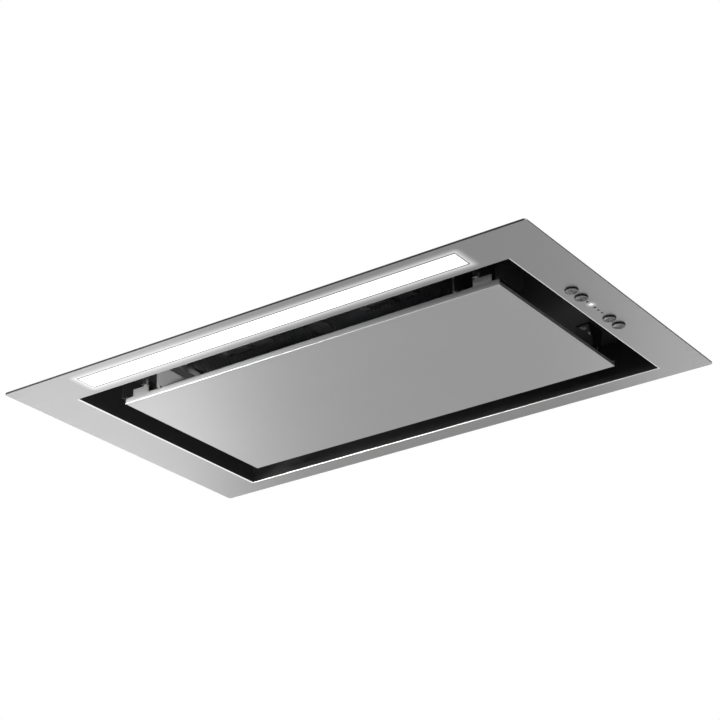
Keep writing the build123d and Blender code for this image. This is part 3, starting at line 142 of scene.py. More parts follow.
def makeBrushGroup(values):
    inputs = [
        ("Direction", "NodeSocketVector", (1.0, 0.0, 0.0)),
        ("Fineness", "NodeSocketFloat", 2200.0),
        ("Length", "NodeSocketFloat", 12.0),
        ("Cloud size", "NodeSocketFloat", 5.0),
    ]
    outputs = [("Scratch", "NodeSocketFloat"), ("Streak", "NodeSocketFloat"), ("Cloud", "NodeSocketFloat")]
    tree, ins, outs = newGroup("brushedGrain", inputs, outputs)
    place = tree.nodes.new("ShaderNodeTexCoord")
    along = tree.nodes.new("ShaderNodeVectorMath")
    along.operation = "DOT_PRODUCT"
    tree.links.new(place.outputs["Object"], along.inputs[0])
    tree.links.new(ins.outputs["Direction"], along.inputs[1])
    streak = ("Streak", values["streakFineness"], values["streakLength"])
    for output, finer, longer in (("Scratch", 1.0, 1.0), streak):
        fineness = mathNode(tree, "MULTIPLY", ins.outputs["Fineness"], finer)
        stretched = tree.nodes.new("ShaderNodeVectorMath")
        stretched.operation = "SCALE"
        tree.links.new(place.outputs["Object"], stretched.inputs[0])
        tree.links.new(fineness, stretched.inputs["Scale"])
        length = mathNode(tree, "MULTIPLY", ins.outputs["Length"], longer)
        shift = mathNode(tree, "SUBTRACT", length, fineness)
        pull = tree.nodes.new("ShaderNodeVectorMath")
        pull.operation = "SCALE"
        tree.links.new(ins.outputs["Direction"], pull.inputs[0])
        tree.links.new(mathNode(tree, "MULTIPLY", along.outputs["Value"], shift), pull.inputs["Scale"])
        total = tree.nodes.new("ShaderNodeVectorMath")
        total.operation = "ADD"
        tree.links.new(stretched.outputs[0], total.inputs[0])
        tree.links.new(pull.outputs[0], total.inputs[1])
        noise = tree.nodes.new("ShaderNodeTexNoise")
        noise.inputs["Scale"].default_value = 1.0
        noise.inputs["Detail"].default_value = values["detail"]
        noise.inputs["Roughness"].default_value = values["noiseRoughness"]
        tree.links.new(total.outputs[0], noise.inputs["Vector"])
        tree.links.new(noise.outputs["Fac"], outs.inputs[output])
    cloud = tree.nodes.new("ShaderNodeTexNoise")
    cloud.inputs["Detail"].default_value = values["detail"]
    tree.links.new(place.outputs["Object"], cloud.inputs["Vector"])
    tree.links.new(ins.outputs["Cloud size"], cloud.inputs["Scale"])
    tree.links.new(cloud.outputs["Fac"], outs.inputs["Cloud"])
    return tree


# Even fine grain with slow blotches, for paint, plastic and cast metal
def makeGrainGroup():
    inputs = [("Grain size", "NodeSocketFloat", 1800.0), ("Blotch size", "NodeSocketFloat", 18.0)]
    outputs = [("Grain", "NodeSocketFloat"), ("Blotch", "NodeSocketFloat")]
    tree, ins, outs = newGroup("surfaceGrain", inputs, outputs)
    place = tree.nodes.new("ShaderNodeTexCoord")
    for output, source, detail in (("Grain", "Grain size", 1.0), ("Blotch", "Blotch size", 3.0)):
        noise = tree.nodes.new("ShaderNodeTexNoise")
        noise.inputs["Detail"].default_value = detail
        tree.links.new(place.outputs["Object"], noise.inputs["Vector"])
        tree.links.new(ins.outputs[source], noise.inputs["Scale"])
        tree.links.new(noise.outputs["Fac"], outs.inputs[output])
    return tree


# Crystal patches of galvanised sheet, their borders bent a little
spangleValues = {"warpSize": 60.0, "bend": 0.02}


def makeSpangleGroup(values):
    inputs = [("Patch size", "NodeSocketFloat", 120.0), ("Fine size", "NodeSocketFloat", 900.0)]
    outputs = [("Patch", "NodeSocketFloat"), ("Fine", "NodeSocketFloat")]
    tree, ins, outs = newGroup("zincSpangle", inputs, outputs)
    place = tree.nodes.new("ShaderNodeTexCoord")
    warp = tree.nodes.new("ShaderNodeTexNoise")
    warp.inputs["Scale"].default_value = values["warpSize"]
    tree.links.new(place.outputs["Object"], warp.inputs["Vector"])
    bend = tree.nodes.new("ShaderNodeMix")
    bend.data_type = "VECTOR"
    bend.inputs[0].default_value = values["bend"]
    tree.links.new(place.outputs["Object"], bend.inputs[4])
    tree.links.new(warp.outputs["Color"], bend.inputs[5])
    cells = tree.nodes.new("ShaderNodeTexVoronoi")
    tree.links.new(bend.outputs[1], cells.inputs["Vector"])
    tree.links.new(ins.outputs["Patch size"], cells.inputs["Scale"])
    split = tree.nodes.new("ShaderNodeSeparateColor")
    tree.links.new(cells.outputs["Color"], split.inputs[0])
    tree.links.new(split.outputs[0], outs.inputs["Patch"])
    fine = tree.nodes.new("ShaderNodeTexNoise")
    tree.links.new(place.outputs["Object"], fine.inputs["Vector"])
    tree.links.new(ins.outputs["Fine size"], fine.inputs["Scale"])
    tree.links.new(fine.outputs["Fac"], outs.inputs["Fine"])
    return tree


# One on a box, falling to nought at a reach outside it, in place coordinates
falloffPower = 1.8


def makeFalloffGroup(power):
    inputs = [
        ("Middle", "NodeSocketVector", (0.0, 0.0, 0.0)),
        ("Half", "NodeSocketVector", (0.1, 0.1, 0.1)),
        ("Reach", "NodeSocketFloat", 0.01),
    ]
    tree, ins, outs = newGroup("boxFalloff", inputs, [("Mask", "NodeSocketFloat")])
    place = tree.nodes.new("ShaderNodeTexCoord")
    spot = place.outputs["Object"]
    for operation, other in (
            ("SUBTRACT", ins.outputs["Middle"]), ("ABSOLUTE", None), ("SUBTRACT", ins.outputs["Half"]),
            ("MAXIMUM", None), ("LENGTH", None)):
        step = tree.nodes.new("ShaderNodeVectorMath")
        step.operation = operation
        tree.links.new(spot, step.inputs[0])
        if other is not None:
            tree.links.new(other, step.inputs[1])
        spot = step.outputs["Value"] if operation == "LENGTH" else step.outputs[0]
    away = mathNode(tree, "DIVIDE", spot, ins.outputs["Reach"])
    near = mathNode(tree, "MAXIMUM", mathNode(tree, "SUBTRACT", 1.0, away), 0.0)
    tree.links.new(mathNode(tree, "POWER", near, power), outs.inputs["Mask"])
    return tree


brushGroup = makeBrushGroup(brushValues)
falloffGroup = makeFalloffGroup(falloffPower)
grainGroup = makeGrainGroup()
spangleGroup = makeSpangleGroup(spangleValues)
print("shader groups are built")


def addBump(tree, shader, height, strength, distance):
    bump = tree.nodes.new("ShaderNodeBump")
    bump.inputs["Strength"].default_value = strength
    bump.inputs["Distance"].default_value = distance
    tree.links.new(height, bump.inputs["Height"])
    tree.links.new(bump.outputs[0], shader.inputs["Normal"])


def falloff(tree, middle, half, reach):
    node = useGroup(tree, falloffGroup, Middle=[v * mm for v in middle], Half=[v * mm for v in half])
    node.inputs["Reach"].default_value = reach * mm
    return node.outputs["Mask"]


# How light spreads across the grain on faces of every direction
def acrossGrain(tree, shader, direction):
    geometry = tree.nodes.new("ShaderNodeNewGeometry")
    across = tree.nodes.new("ShaderNodeVectorMath")
    across.operation = "CROSS_PRODUCT"
    tree.links.new(geometry.outputs["Normal"], across.inputs[0])
    across.inputs[1].default_value = direction
    tree.links.new(across.outputs[0], shader.inputs["Tangent"])


# Brushed stainless steel; the grain follows the given direction
steelValues = {
    "paintedEdgeShade": 0.12, "foldHighlightTone": 0.85, "sideReach": 1.15, "sidePower": 2.0, "sideShade": 0.1,
    "roughSwing": 0.12, "bumpDepth": 0.00002,
}


def brushedSteel(
        name, tone, roughness, direction=(1, 0, 0), stretch=0.6, scratch=0.10, bump=0.15, dark=None,
        paintedFoldHighlight=None, glow=None, paintedSideShade=False, blotch=(5.0, 0.12), span=0.3):
    material, tree, shader = newMaterial(name)
    grain = useGroup(tree, brushGroup, Direction=direction, **{"Cloud size": blotch[0]})
    shader.inputs["Metallic"].default_value = 1.0
    shader.inputs["Anisotropic"].default_value = stretch
    marks = mathNode(tree, "ADD", grain.outputs["Scratch"], grain.outputs["Streak"])
    lightness = mathNode(tree, "MULTIPLY_ADD", marks, scratch, 0.5 - scratch)
    lightness = mathNode(tree, "SUBTRACT", lightness, blotch[1] / 2)
    lightness = mathNode(tree, "MULTIPLY_ADD", grain.outputs["Cloud"], blotch[1], lightness)
    colour = mixColour(tree, lightness, grey(tone * (1 - span)), grey(tone * (1 + span)))
    if dark:  # painted shade: the sheet's front and back edge faces are darkened, outside this box
        colour = mixColour(tree, falloff(tree, *dark), grey(tone * steelValues["paintedEdgeShade"]), colour)
    if paintedFoldHighlight:  # painted highlight: the fold round the opening is lightened toward a pale tone, inside this box
        colour = mixColour(tree, falloff(tree, *paintedFoldHighlight), colour, grey(steelValues["foldHighlightTone"]))
    if paintedSideShade:  # painted shade: walls that stand across the face are darker by the way they face
        geometry = tree.nodes.new("ShaderNodeNewGeometry")
        parts = tree.nodes.new("ShaderNodeSeparateXYZ")
        tree.links.new(geometry.outputs["Normal"], parts.inputs[0])
        level = mathNode(tree, "ABSOLUTE", parts.outputs[2])
        level = mathNode(tree, "MULTIPLY", level, steelValues["sideReach"])
        level = mathNode(tree, "POWER", mathNode(tree, "MINIMUM", level, 1.0), steelValues["sidePower"])
        colour = mixColour(tree, level, grey(tone * steelValues["sideShade"]), colour)
    tree.links.new(colour, shader.inputs["Base Color"])
    if glow:  # light that spills over from lit pieces, or that a folded edge catches
        spill = None
        for middle, half, reach, strength in glow["spots"]:
            mask = mathNode(tree, "MULTIPLY", falloff(tree, middle, half, reach), strength)
            spill = mask if spill is None else mathNode(tree, "MAXIMUM", spill, mask)
        tree.links.new(mixColour(tree, spill, grey(0.0), grey(1.0)), shader.inputs["Emission Color"])
        shader.inputs["Emission Strength"].default_value = glow["strength"]
    swing = steelValues["roughSwing"]
    rough = mathNode(tree, "MULTIPLY_ADD", grain.outputs["Streak"], swing, roughness - swing / 2)
    tree.links.new(rough, shader.inputs["Roughness"])
    addBump(tree, shader, grain.outputs["Scratch"], bump, steelValues["bumpDepth"])
    acrossGrain(tree, shader, direction)
    return material


# Zinc-coated or galvanised sheet
zincValues = {
    "fineShare": 0.3, "patchShare": 0.7, "coolTint": (0.98, 0.99, 1.0), "warmTint": (1.0, 1.0, 0.99),
    "roughSwing": 0.14, "bump": 0.12, "bumpDepth": 0.00003,
}


def zincSheet(name, tone, roughness, patchSize=120.0, contrast=0.16, metallic=1.0):
    material, tree, shader = newMaterial(name)
    spangle = useGroup(tree, spangleGroup, **{"Patch size": patchSize})
    shader.inputs["Metallic"].default_value = metallic
    shade = mathNode(tree, "MULTIPLY", spangle.outputs["Patch"], zincValues["patchShare"])
    shade = mathNode(tree, "MULTIPLY_ADD", spangle.outputs["Fine"], zincValues["fineShare"], shade)
    low = grey(tone * (1 - contrast), zincValues["coolTint"])
    high = grey(tone * (1 + contrast), zincValues["warmTint"])
    tree.links.new(mixColour(tree, shade, low, high), shader.inputs["Base Color"])
    swing = zincValues["roughSwing"]
    rough = mathNode(tree, "MULTIPLY_ADD", spangle.outputs["Patch"], swing, roughness - swing / 2)
    tree.links.new(rough, shader.inputs["Roughness"])
    addBump(tree, shader, spangle.outputs["Fine"], zincValues["bump"], zincValues["bumpDepth"])
    return material


# Paint, plastic, rubber or cast metal: one colour with fine grain
grainedRoughSwing = 0.12


def grained(name, colour, roughness, metallic=0.0, grainSize=1800.0, bump=0.2, depth=0.00003, vary=0.12):
    material, tree, shader = newMaterial(name)
    grain = useGroup(tree, grainGroup, **{"Grain size": grainSize})
    shader.inputs["Metallic"].default_value = metallic
    dark = tuple(c * (1 - vary) for c in colour) + (1.0,)
    light = tuple(min(1.0, c * (1 + vary)) for c in colour) + (1.0,)
    tree.links.new(mixColour(tree, grain.outputs["Blotch"], dark, light), shader.inputs["Base Color"])
    least = roughness - grainedRoughSwing / 2
    rough = mathNode(tree, "MULTIPLY_ADD", grain.outputs["Blotch"], grainedRoughSwing, least)
    tree.links.new(rough, shader.inputs["Roughness"])
    addBump(tree, shader, grain.outputs["Grain"], bump, depth)
    return material


# Opal lamp lens, lit from inside by a row of diodes, and the lit end of the light pipe
lampValues = {
    "glow": 0.9, "colour": (1.0, 0.995, 0.985), "middle": (1.6, -184.9, 0), "window": (261.2, 13.4, 9),
    # edge: the tone of the painted shade line along the lens edge
    "edge": 0.12, "gapShadeReach": 0.3,
}
litEndValues = {"glow": 1.8, "colour": (1.0, 1.0, 1.0)}
lensValues = {"grainSize": 900.0, "blotchSize": 6.0, "roughness": 0.45, "tones": (0.86, 0.92)}


def litLens(name, values):
    material, tree, shader = newMaterial(name)
    sizes = {"Grain size": lensValues["grainSize"], "Blotch size": lensValues["blotchSize"]}
    blotch = useGroup(tree, grainGroup, **sizes).outputs["Blotch"]
    shader.inputs["Roughness"].default_value = lensValues["roughness"]
    base = mixColour(tree, blotch, *(grey(tone) for tone in lensValues["tones"]))
    lit = mixColour(tree, blotch, values["colour"] + (1.0,), grey(1.0))
    if "window" in values:  # painted shade: a thin dark line along the lens edge stands for the shadow in the gap round the lens
        inside = falloff(tree, values["middle"], values["window"], values["gapShadeReach"])
        paintedGapShade = grey(values["edge"])
        base, lit = mixColour(tree, inside, paintedGapShade, base), mixColour(tree, inside, paintedGapShade, lit)
    tree.links.new(base, shader.inputs["Base Color"])
    tree.links.new(lit, shader.inputs["Emission Color"])
    shader.inputs["Emission Strength"].default_value = values["glow"]
    return material


# Smoke-clear moulding, dark where no light comes through it
clearValues = {"tones": (0.015, 0.025), "roughness": 0.12, "ior": 1.49}


def clearPlastic(name, values):
    material, tree, shader = newMaterial(name)
    blotch = useGroup(tree, grainGroup).outputs["Blotch"]
    shader.inputs["Roughness"].default_value = values["roughness"]
    shader.inputs["IOR"].default_value = values["ior"]
    colour = mixColour(tree, blotch, *(grey(tone) for tone in values["tones"]))
    tree.links.new(colour, shader.inputs["Base Color"])
    return material


# Green circuit board with a pattern of copper tracks under its varnish
boardValues = {
    "cells": 220.0, "gap": 0.012, "varnish": (0.02, 0.16, 0.07, 1), "track": (0.10, 0.30, 0.14, 1),
    "roughness": 0.35,
}


def circuitBoard(name, values):
    material, tree, shader = newMaterial(name)
    cells = tree.nodes.new("ShaderNodeTexBrick")
    place = tree.nodes.new("ShaderNodeTexCoord")
    cells.inputs["Scale"].default_value = values["cells"]
    cells.inputs["Mortar Size"].default_value = values["gap"]
    tree.links.new(place.outputs["Object"], cells.inputs["Vector"])
    colour = mixColour(tree, cells.outputs["Fac"], values["varnish"], values["track"])
    tree.links.new(colour, shader.inputs["Base Color"])
    shader.inputs["Roughness"].default_value = values["roughness"]
    return material


# Black-coated bracket with its inner cheek left bare
bracketValues = {
    "bareBox": ((1.6, -88.0, 20.0), (209.2, 80.0, 60.0), 0.3), "coat": (0.010, 0.016),
    "steel": (0.60, 0.72), "metallic": 0.5, "roughness": 0.5, "grainSize": 900.0, "bump": 0.15,
    "bumpDepth": 0.00003,
}


def coatedBracket(name, values):
    material, tree, shader = newMaterial(name)
    grain = useGroup(tree, grainGroup, **{"Grain size": values["grainSize"]})
    bare = falloff(tree, *values["bareBox"])
    coat = mixColour(tree, grain.outputs["Blotch"], *(grey(tone) for tone in values["coat"]))
    steel = mixColour(tree, grain.outputs["Blotch"], *(grey(tone) for tone in values["steel"]))
    tree.links.new(mixColour(tree, bare, coat, steel), shader.inputs["Base Color"])
    tree.links.new(mathNode(tree, "MULTIPLY", bare, values["metallic"]), shader.inputs["Metallic"])
    shader.inputs["Roughness"].default_value = values["roughness"]
    addBump(tree, shader, grain.outputs["Grain"], values["bump"], values["bumpDepth"])
    return material


# Places on the face frame, in millimetres: a box's middle and half size, the reach round it, the strength
# the frame's edge faces outside this box get painted shade
edgeShadeBox = ((0, 0, 0), (380, 217.8, 5), 0.35)
# the fold round the opening, inside this box, gets a painted highlight
foldHighlightBox = ((1.6, 18.4, 0), (301.0, 173.2, 10), 1.1)
spillValues = {
    "spots": [
        ((1.6, -184.9, 0), (263, 16, 5), 11.0, 1.0),  # round the lamp
        ((320.2, -7.1, 0), (1.2, 1.2, 5), 6.0, 1.0),  # round the lit indicator
        ((-299.8, 18.4, 0), (0.6, 173, 5), 0.9, 1.0),  # fold at the opening's left
        ((303.1, 18.4, 0), (0.5, 173, 5), 0.8, 0.8),  # fold at the opening's right
        ((360.3, 0, 0), (0.4, 217.6, 5), 0.3, 0.2),  # right rim
    ],
    "strength": 0.5,
}

finishes = {
    "frame_steel": brushedSteel("frameSteel", 0.38, 0.36, dark=edgeShadeBox, paintedFoldHighlight=foldHighlightBox, glow=spillValues),
    "panel_steel": brushedSteel("panelSteel", 0.48, 0.38),
    "button_steel": brushedSteel(
        "buttonSteel", 0.16, 0.3, scratch=0.45, paintedSideShade=True, blotch=(420.0, 2.2), span=0.85),
    "zinc": zincSheet("zincPlate", 0.5, 0.5, patchSize=420.0, contrast=0.06, metallic=0.7),
    "body_sheet": zincSheet("galvanisedSheet", 0.56, 0.40),
    "spring_steel": brushedSteel("springSteel", 0.42, 0.3, direction=(0, 0, 1), stretch=0.3),
    "black_sheet": grained("blackSheet", (0.010, 0.010, 0.010), 0.45, grainSize=900.0),
    "filter_aluminium": grained("millAluminium", (0.66, 0.66, 0.67), 0.35, metallic=1.0, vary=0.06),
    "latch_plastic": grained("latchBlack", (0.02, 0.02, 0.02), 0.4),
    "opal": litLens("opalLens", lampValues),
    "lamp_white": grained("lampEnamel", (0.82, 0.82, 0.81), 0.35, vary=0.03),
    "white_plastic": grained("whitePlastic", (0.78, 0.78, 0.76), 0.45, vary=0.03),
    "bracket_coat": coatedBracket("bracketCoat", bracketValues),
    "clear_plastic": clearPlastic("lightPipe", clearValues),
    "lit_plastic": litLens("litEnd", litEndValues),
    "mesh_aluminium": grained(
        "meshAluminium", (0.72, 0.72, 0.73), 0.3, metallic=1.0, grainSize=2500.0, vary=0.05),
    "board": circuitBoard("circuitBoard", boardValues),
    "black_plastic": grained("blackPlastic", (0.022, 0.022, 0.023), 0.45),
    "grey_plastic": grained("greyPlastic", (0.30, 0.31, 0.32), 0.5, vary=0.05),
    "motor_metal": grained("castHousing", (0.5, 0.5, 0.51), 0.5, metallic=1.0, grainSize=700.0, bump=0.4),
    "can_aluminium": brushedSteel("drawnCan", 0.7, 0.25, direction=(0, 1, 0), scratch=0.04),
    "rubber": grained("softRubber", (0.02, 0.02, 0.02), 0.7),
    "screw_zinc": grained("screwZinc", (0.6, 0.6, 0.57), 0.3, metallic=1.0, vary=0.08),
}


def dress(node, material):
    for materialSlot in nodes[node].material_slots:
        materialSlot.link = "OBJECT"
        materialSlot.material = material


for part in frame["record"]["subparts"]:
    dress(part["node"], finishes[part["material_slot"]])
for side in ("left", "right"):
    dress("catch_bracket_" + side, finishes["bracket_coat"])
    dress("hinge_bracket_" + side, finishes["black_sheet"])
    dress("hinge_arm_" + side, finishes["black_sheet"])
print("finishes are on the packed pieces")


# Smooth shading on round pieces, sharp at folds
foldAngle = 32.0


def shadeByAngle(obj, degrees=foldAngle):
    with bpy.context.temp_override(object=obj, active_object=obj, selected_editable_objects=[obj]):
        bpy.ops.object.shade_smooth_by_angle(angle=math.radians(degrees))


# Small helpers for pieces
def addPiece(name, bm, materials, body, replaced=(), angle=foldAngle):
    bmesh.ops.recalc_face_normals(bm, faces=bm.faces[:])
    mesh = bpy.data.meshes.new(name)
    bm.to_mesh(mesh)
    bm.free()
    for material in materials:
        mesh.materials.append(material)
    piece = bpy.data.objects.new(name, mesh)
    bpy.context.scene.collection.objects.link(piece)
    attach(piece, body)
    if replaced:
        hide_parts(*replaced)
    shadeByAngle(piece, angle)


def turned(bm, profile, place, steps=40, tilt=None, materialIndex=0):
    rings = []
    for radius, height in profile:
        count = 1 if radius == 0 else steps
        angles = [math.tau * i / count for i in range(count)]
        rings.append([bm.verts.new((radius * math.cos(a), radius * math.sin(a), height)) for a in angles])
    for low, high in zip(rings, rings[1:]):
        for i in range(steps):
            corners = [low[i % len(low)], low[(i + 1) % len(low)]]
            corners += [high[(i + 1) % len(high)], high[i % len(high)]]
            face = bm.faces.new(list(dict.fromkeys(corners)))
            face.material_index = materialIndex
    verts = [v for ring in rings for v in ring]
    move = Matrix.Translation(place) @ (tilt or Matrix.Identity(4))
    bmesh.ops.transform(bm, matrix=move, verts=verts)


def softBox(bm, low, high, edge=0.0003, materialIndex=0):
    size = [h - l for l, h in zip(low, high)]
    middle = [(h + l) / 2 for l, h in zip(low, high)]
    move = Matrix.Translation(middle) @ Matrix.Diagonal((*size, 1.0))
    made = bmesh.ops.create_cube(bm, size=1.0, matrix=move)
    edges = list({e for v in made["verts"] for e in v.link_edges})
    faces = list({f for v in made["verts"] for f in v.link_faces})
    for face in faces:
        face.material_index = materialIndex
    bmesh.ops.bevel(bm, geom=edges, offset=edge, segments=2, affect="EDGES", clamp_overlap=True)


def inMetres(profile):
    return [(r * mm, h * mm) for r, h in profile]


# Push buttons: a dished cap on a square carrier with a stem
buttonValues = {
    "radius": 7.5, "proud": 2.0, "dish": 0.7, "dishPower": 2.6, "rimRadius": 6.75, "rings": 9,
    "flangeWidth": 18.0, "flangeLow": 1.3, "flangeHigh": 2.5, "flangeEdge": 0.4, "stemWidth": 4.4,
    "steps": 64, "foldAngle": 28.0,
}


def makeButton(number, values):
    node = "push_button_%d" % number
    low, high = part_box(node)
    x, y = (low.x + high.x) / 2, (low.y + high.y) / 2
    rim, radius, base = values["rimRadius"], values["radius"], -values["proud"]
    seat, top = values["flangeLow"], values["flangeHigh"]
    profile = []
    for i in range(values["rings"] + 1):
        r = rim * i / values["rings"]
        profile.append((r, base + values["dish"] * (1 - (r / rim) ** values["dishPower"])))
    profile += [(rim + 0.2, base), (radius - 0.3, base + 0.05), (radius - 0.08, base + 0.25)]
    profile += [(radius, base + 0.55), (radius, seat - 0.3), (radius - 0.2, seat), (0, seat)]
    bm = bmesh.new()
    turned(bm, inMetres(profile), (x, y, 0), steps=values["steps"])
    wide, thin = values["flangeWidth"] / 2 * mm, values["stemWidth"] / 2 * mm
    softBox(
        bm, (x - wide, y - wide, seat * mm), (x + wide, y + wide, top * mm), values["flangeEdge"] * mm)
    softBox(bm, (x - thin, y - thin, top * mm), (x + thin, y + thin, high.z))
    addPiece(
        "dishedButton%d" % number, bm, [finishes["button_steel"]], "button_%d" % number,
        [node], values["foldAngle"])


for number in range(1, 5):
    makeButton(number, buttonValues)
print("buttons are made")


# Indicator lights: five round ends of one clear moulding; the second from the front is lit
lightEndValues = {
    "count": 5, "pitch": 8.5, "radius": 1.6, "lit": 1, "endZ": 0.45, "dome": 0.1, "steps": 32,
    "barThick": 2.0, "barEdge": 0.4, "legWidth": 3.0, "legLow": 1.0, "legEdge": 0.3,
}


def makeIndicatorLights(values):
    low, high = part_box("indicator_light_pipe")
    x, middle = (low.x + high.x) / 2, (low.y + high.y) / 2
    barLow = high.z - values["barThick"] * mm
    leg, foot = values["legWidth"] * mm, values["legLow"] * mm
    bm = bmesh.new()
    softBox(bm, (low.x, low.y, barLow), high, values["barEdge"] * mm)
    for end in (low.y, high.y - leg):
        softBox(bm, (x - leg / 2, end, foot), (x + leg / 2, end + leg, barLow), values["legEdge"] * mm)
    radius, endZ, dome = values["radius"], values["endZ"], values["dome"]
    profile = [(0, endZ), (radius * 0.5, endZ + dome * 0.2), (radius * 0.85, endZ + dome * 0.6)]
    profile += [(radius, endZ + dome), (radius, barLow / mm), (0, barLow / mm)]
    for i in range(values["count"]):
        y = middle + (i - (values["count"] - 1) / 2) * values["pitch"] * mm
        lit = 1 if i == values["lit"] else 0
        turned(bm, inMetres(profile), (x, y, 0), steps=values["steps"], materialIndex=lit)
    materials = [finishes["clear_plastic"], finishes["lit_plastic"]]
    addPiece("indicatorLights", bm, materials, "hood", ["indicator_light_pipe"])


makeIndicatorLights(lightEndValues)
print("indicator lights are made")


# Filter mesh: layers of fine expanded sheet, strands tilted as the tool leaves them
meshValues = {
    "pitchX": 5.6, "pitchY": 12.4, "strand": 1.1, "strandSide": 0.55, "strandEnd": 1.2, "thick": 0.5,
    "tilt": 0.35, "layers": 3, "firstLayer": 0.45, "layerGap": 1.5, "layerShift": (0.31, 0.27),
    "notch": (36.0, 38.0), "foldAngle": 25.0,
}


def expandedLayer(bm, low, high, notch, z, values, shift):
    px, py = values["pitchX"] * mm, values["pitchY"] * mm
    a = px / 2 - values["strand"] * values["strandSide"] * mm
    b = py / 2 - values["strand"] * values["strandEnd"] * mm
    lift = values["tilt"] * mm
    holes = {}
    columns, rows = int((high.x - low.x) / px), int((high.y - low.y) / (py / 2))
    startX = (low.x + high.x - (columns - 1) * px) / 2
    startY = (low.y + high.y - (rows - 1) * py / 2) / 2
    for row in range(rows):
        for column in range(columns - row % 2):
            cx = startX + (column + (row % 2) / 2) * px + shift[0]
            cy = startY + row * py / 2 + shift[1]
            if abs(cx - (low.x + high.x) / 2) < notch[0] + px / 2 and cy < notch[1] + py / 2:
                continue
            if not (low.x + a < cx < high.x - a and low.y + b < cy < high.y - b):
                continue
            spots = ((cx + a, cy, z + lift), (cx, cy + b, z), (cx - a, cy, z - lift), (cx, cy - b, z))
            holes[2 * column + row % 2, row] = [bm.verts.new(spot) for spot in spots]
    for (column, row), corners in holes.items():
        right, back, left = corners[:3]
        upRight, upLeft = holes.get((column + 1, row + 1)), holes.get((column - 1, row + 1))
        beside, downRight = holes.get((column + 2, row)), holes.get((column + 1, row - 1))
        if upRight:
            bm.faces.new((right, upRight[3], upRight[2], back))
        if upLeft:
            bm.faces.new((back, upLeft[0], upLeft[3], left))
        if beside and upRight and downRight:
            bm.faces.new((right, downRight[1], beside[2], upRight[3]))


def makeFilterMesh(side, values):
    node = "filter_mesh_" + side
    low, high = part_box(node)
    halfWidth, depth = (size * mm for size in values["notch"])  # room for the latch
    notch = (halfWidth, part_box("filter_frame_" + side)[0].y + depth)
    shiftX, shiftY = values["layerShift"]
    bm = bmesh.new()
    for layer in range(values["layers"]):
        z = low.z + (values["firstLayer"] + layer * values["layerGap"]) * mm
        shift = (layer * shiftX * values["pitchX"] * mm, layer * shiftY * values["pitchY"] * mm)
        expandedLayer(bm, low, high, notch, z, values, shift)
    bmesh.ops.solidify(bm, geom=bm.faces[:], thickness=values["thick"] * mm)
    addPiece(
        "expandedMesh" + side.capitalize(), bm, [finishes["mesh_aluminium"]], "hood",
        [node], values["foldAngle"])


for side in ("left", "right"):
    makeFilterMesh(side, meshValues)
print("filter mesh is made")


# Screws: washer heads with a hexagon, threads and a point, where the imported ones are
screwValues = {
    "washer": 3.55, "washerThick": 0.35, "hexagon": 2.75, "height": 1.8, "recess": 1.2, "recessDepth": 0.4,
    "core": 1.15, "thread": 1.6, "pitch": 1.0, "plainEnd": 1.6, "shankRadius": 2.5, "weld": 0.001,
}


# Gives each packed screw's seat, the way its head points, and its length
def packedScrews(node, values):
    bm = bmesh.new()
    bm.from_mesh(nodes[node].data)
    bmesh.ops.remove_doubles(bm, verts=bm.verts[:], dist=values["weld"] * mm)
    waiting = set(bm.verts)
    while waiting:
        island, edge = set(), [waiting.pop()]
        while edge:
            vert = edge.pop()
            island.add(vert)
            for link in vert.link_edges:
                other = link.other_vert(vert)
                if other in waiting:
                    waiting.discard(other)
                    edge.append(other)
        spots = [v.co.copy() for v in island]
        low = Vector([min(s[i] for s in spots) for i in range(3)])
        high = Vector([max(s[i] for s in spots) for i in range(3)])
        middle, size = (low + high) / 2, high - low
        along = max(range(3), key=lambda i: size[i])
        across = [i for i in range(3) if i != along]
        shank = values["shankRadius"] * mm
        centre = [middle[i] for i in across]
        wide = [s[along] for s in spots if math.dist([s[i] for i in across], centre) > shank]
        headUp = max(wide) > middle[along] + size[along] * 0.4
        seat = min(wide) if headUp else max(wide)
        place = middle.copy()
        place[along] = seat
        direction = Vector((0, 0, 0))
        direction[along] = 1.0 if headUp else -1.0
        yield place, direction, size[along]
    bm.free()


def makeScrews(node, name, values):
    bm = bmesh.new()
    washer, thick, hexagon = values["washer"], values["washerThick"], values["hexagon"]
    height, recess, core = values["height"], values["recess"], values["core"]
    plate = [(0, 0), (washer, 0), (washer, thick), (washer - 0.3, thick + 0.2)]
    plate += [(hexagon * 0.8, thick + 0.27), (0, thick + 0.27)]
    head = [(0, thick + 0.15), (hexagon, thick + 0.15), (hexagon, height - 0.25), (hexagon - 0.35, height)]
    head += [(recess + 0.3, height), (recess, height - 0.35), (0, height - values["recessDepth"])]
    for place, direction, length in packedScrews(node, values):
        tilt = direction.to_track_quat("Z", "Y").to_matrix().to_4x4()
        turned(bm, inMetres(plate), place, 36, tilt)
        turned(bm, inMetres(head), place, 6, tilt)
        depth = length / mm - height
        shank, z = [(0, 0.1), (core, 0.1)], 0.0
        while z < depth - values["plainEnd"]:
            shank += [(core, -z), (values["thread"], -z - values["pitch"] / 2)]
            z += values["pitch"]
        shank += [(core, -z), (0, -depth)]
        turned(bm, inMetres(shank), place, 20, tilt)
    addPiece(name, bm, [finishes["screw_zinc"]], "hood", [node])


for place in ("cavity", "tower", "collar"):
    makeScrews(place + "_screws", place + "Screws", screwValues)
print("screws are made")


# Seams: laps of sheet at the corners of the body and the tower, each with blind rivets
seamValues = {
    "width": 16.0, "thick": 0.5, "edge": 0.15, "inset": 4.0, "footGap": 2.0, "topGap": 0.5,
    "towerFlange": 12.0, "rivets": 3, "endGap": 16.0, "headRadius": 3.0, "headHeight": 1.1,
    "pinRadius": 0.9, "pinDepth": 0.4,
}


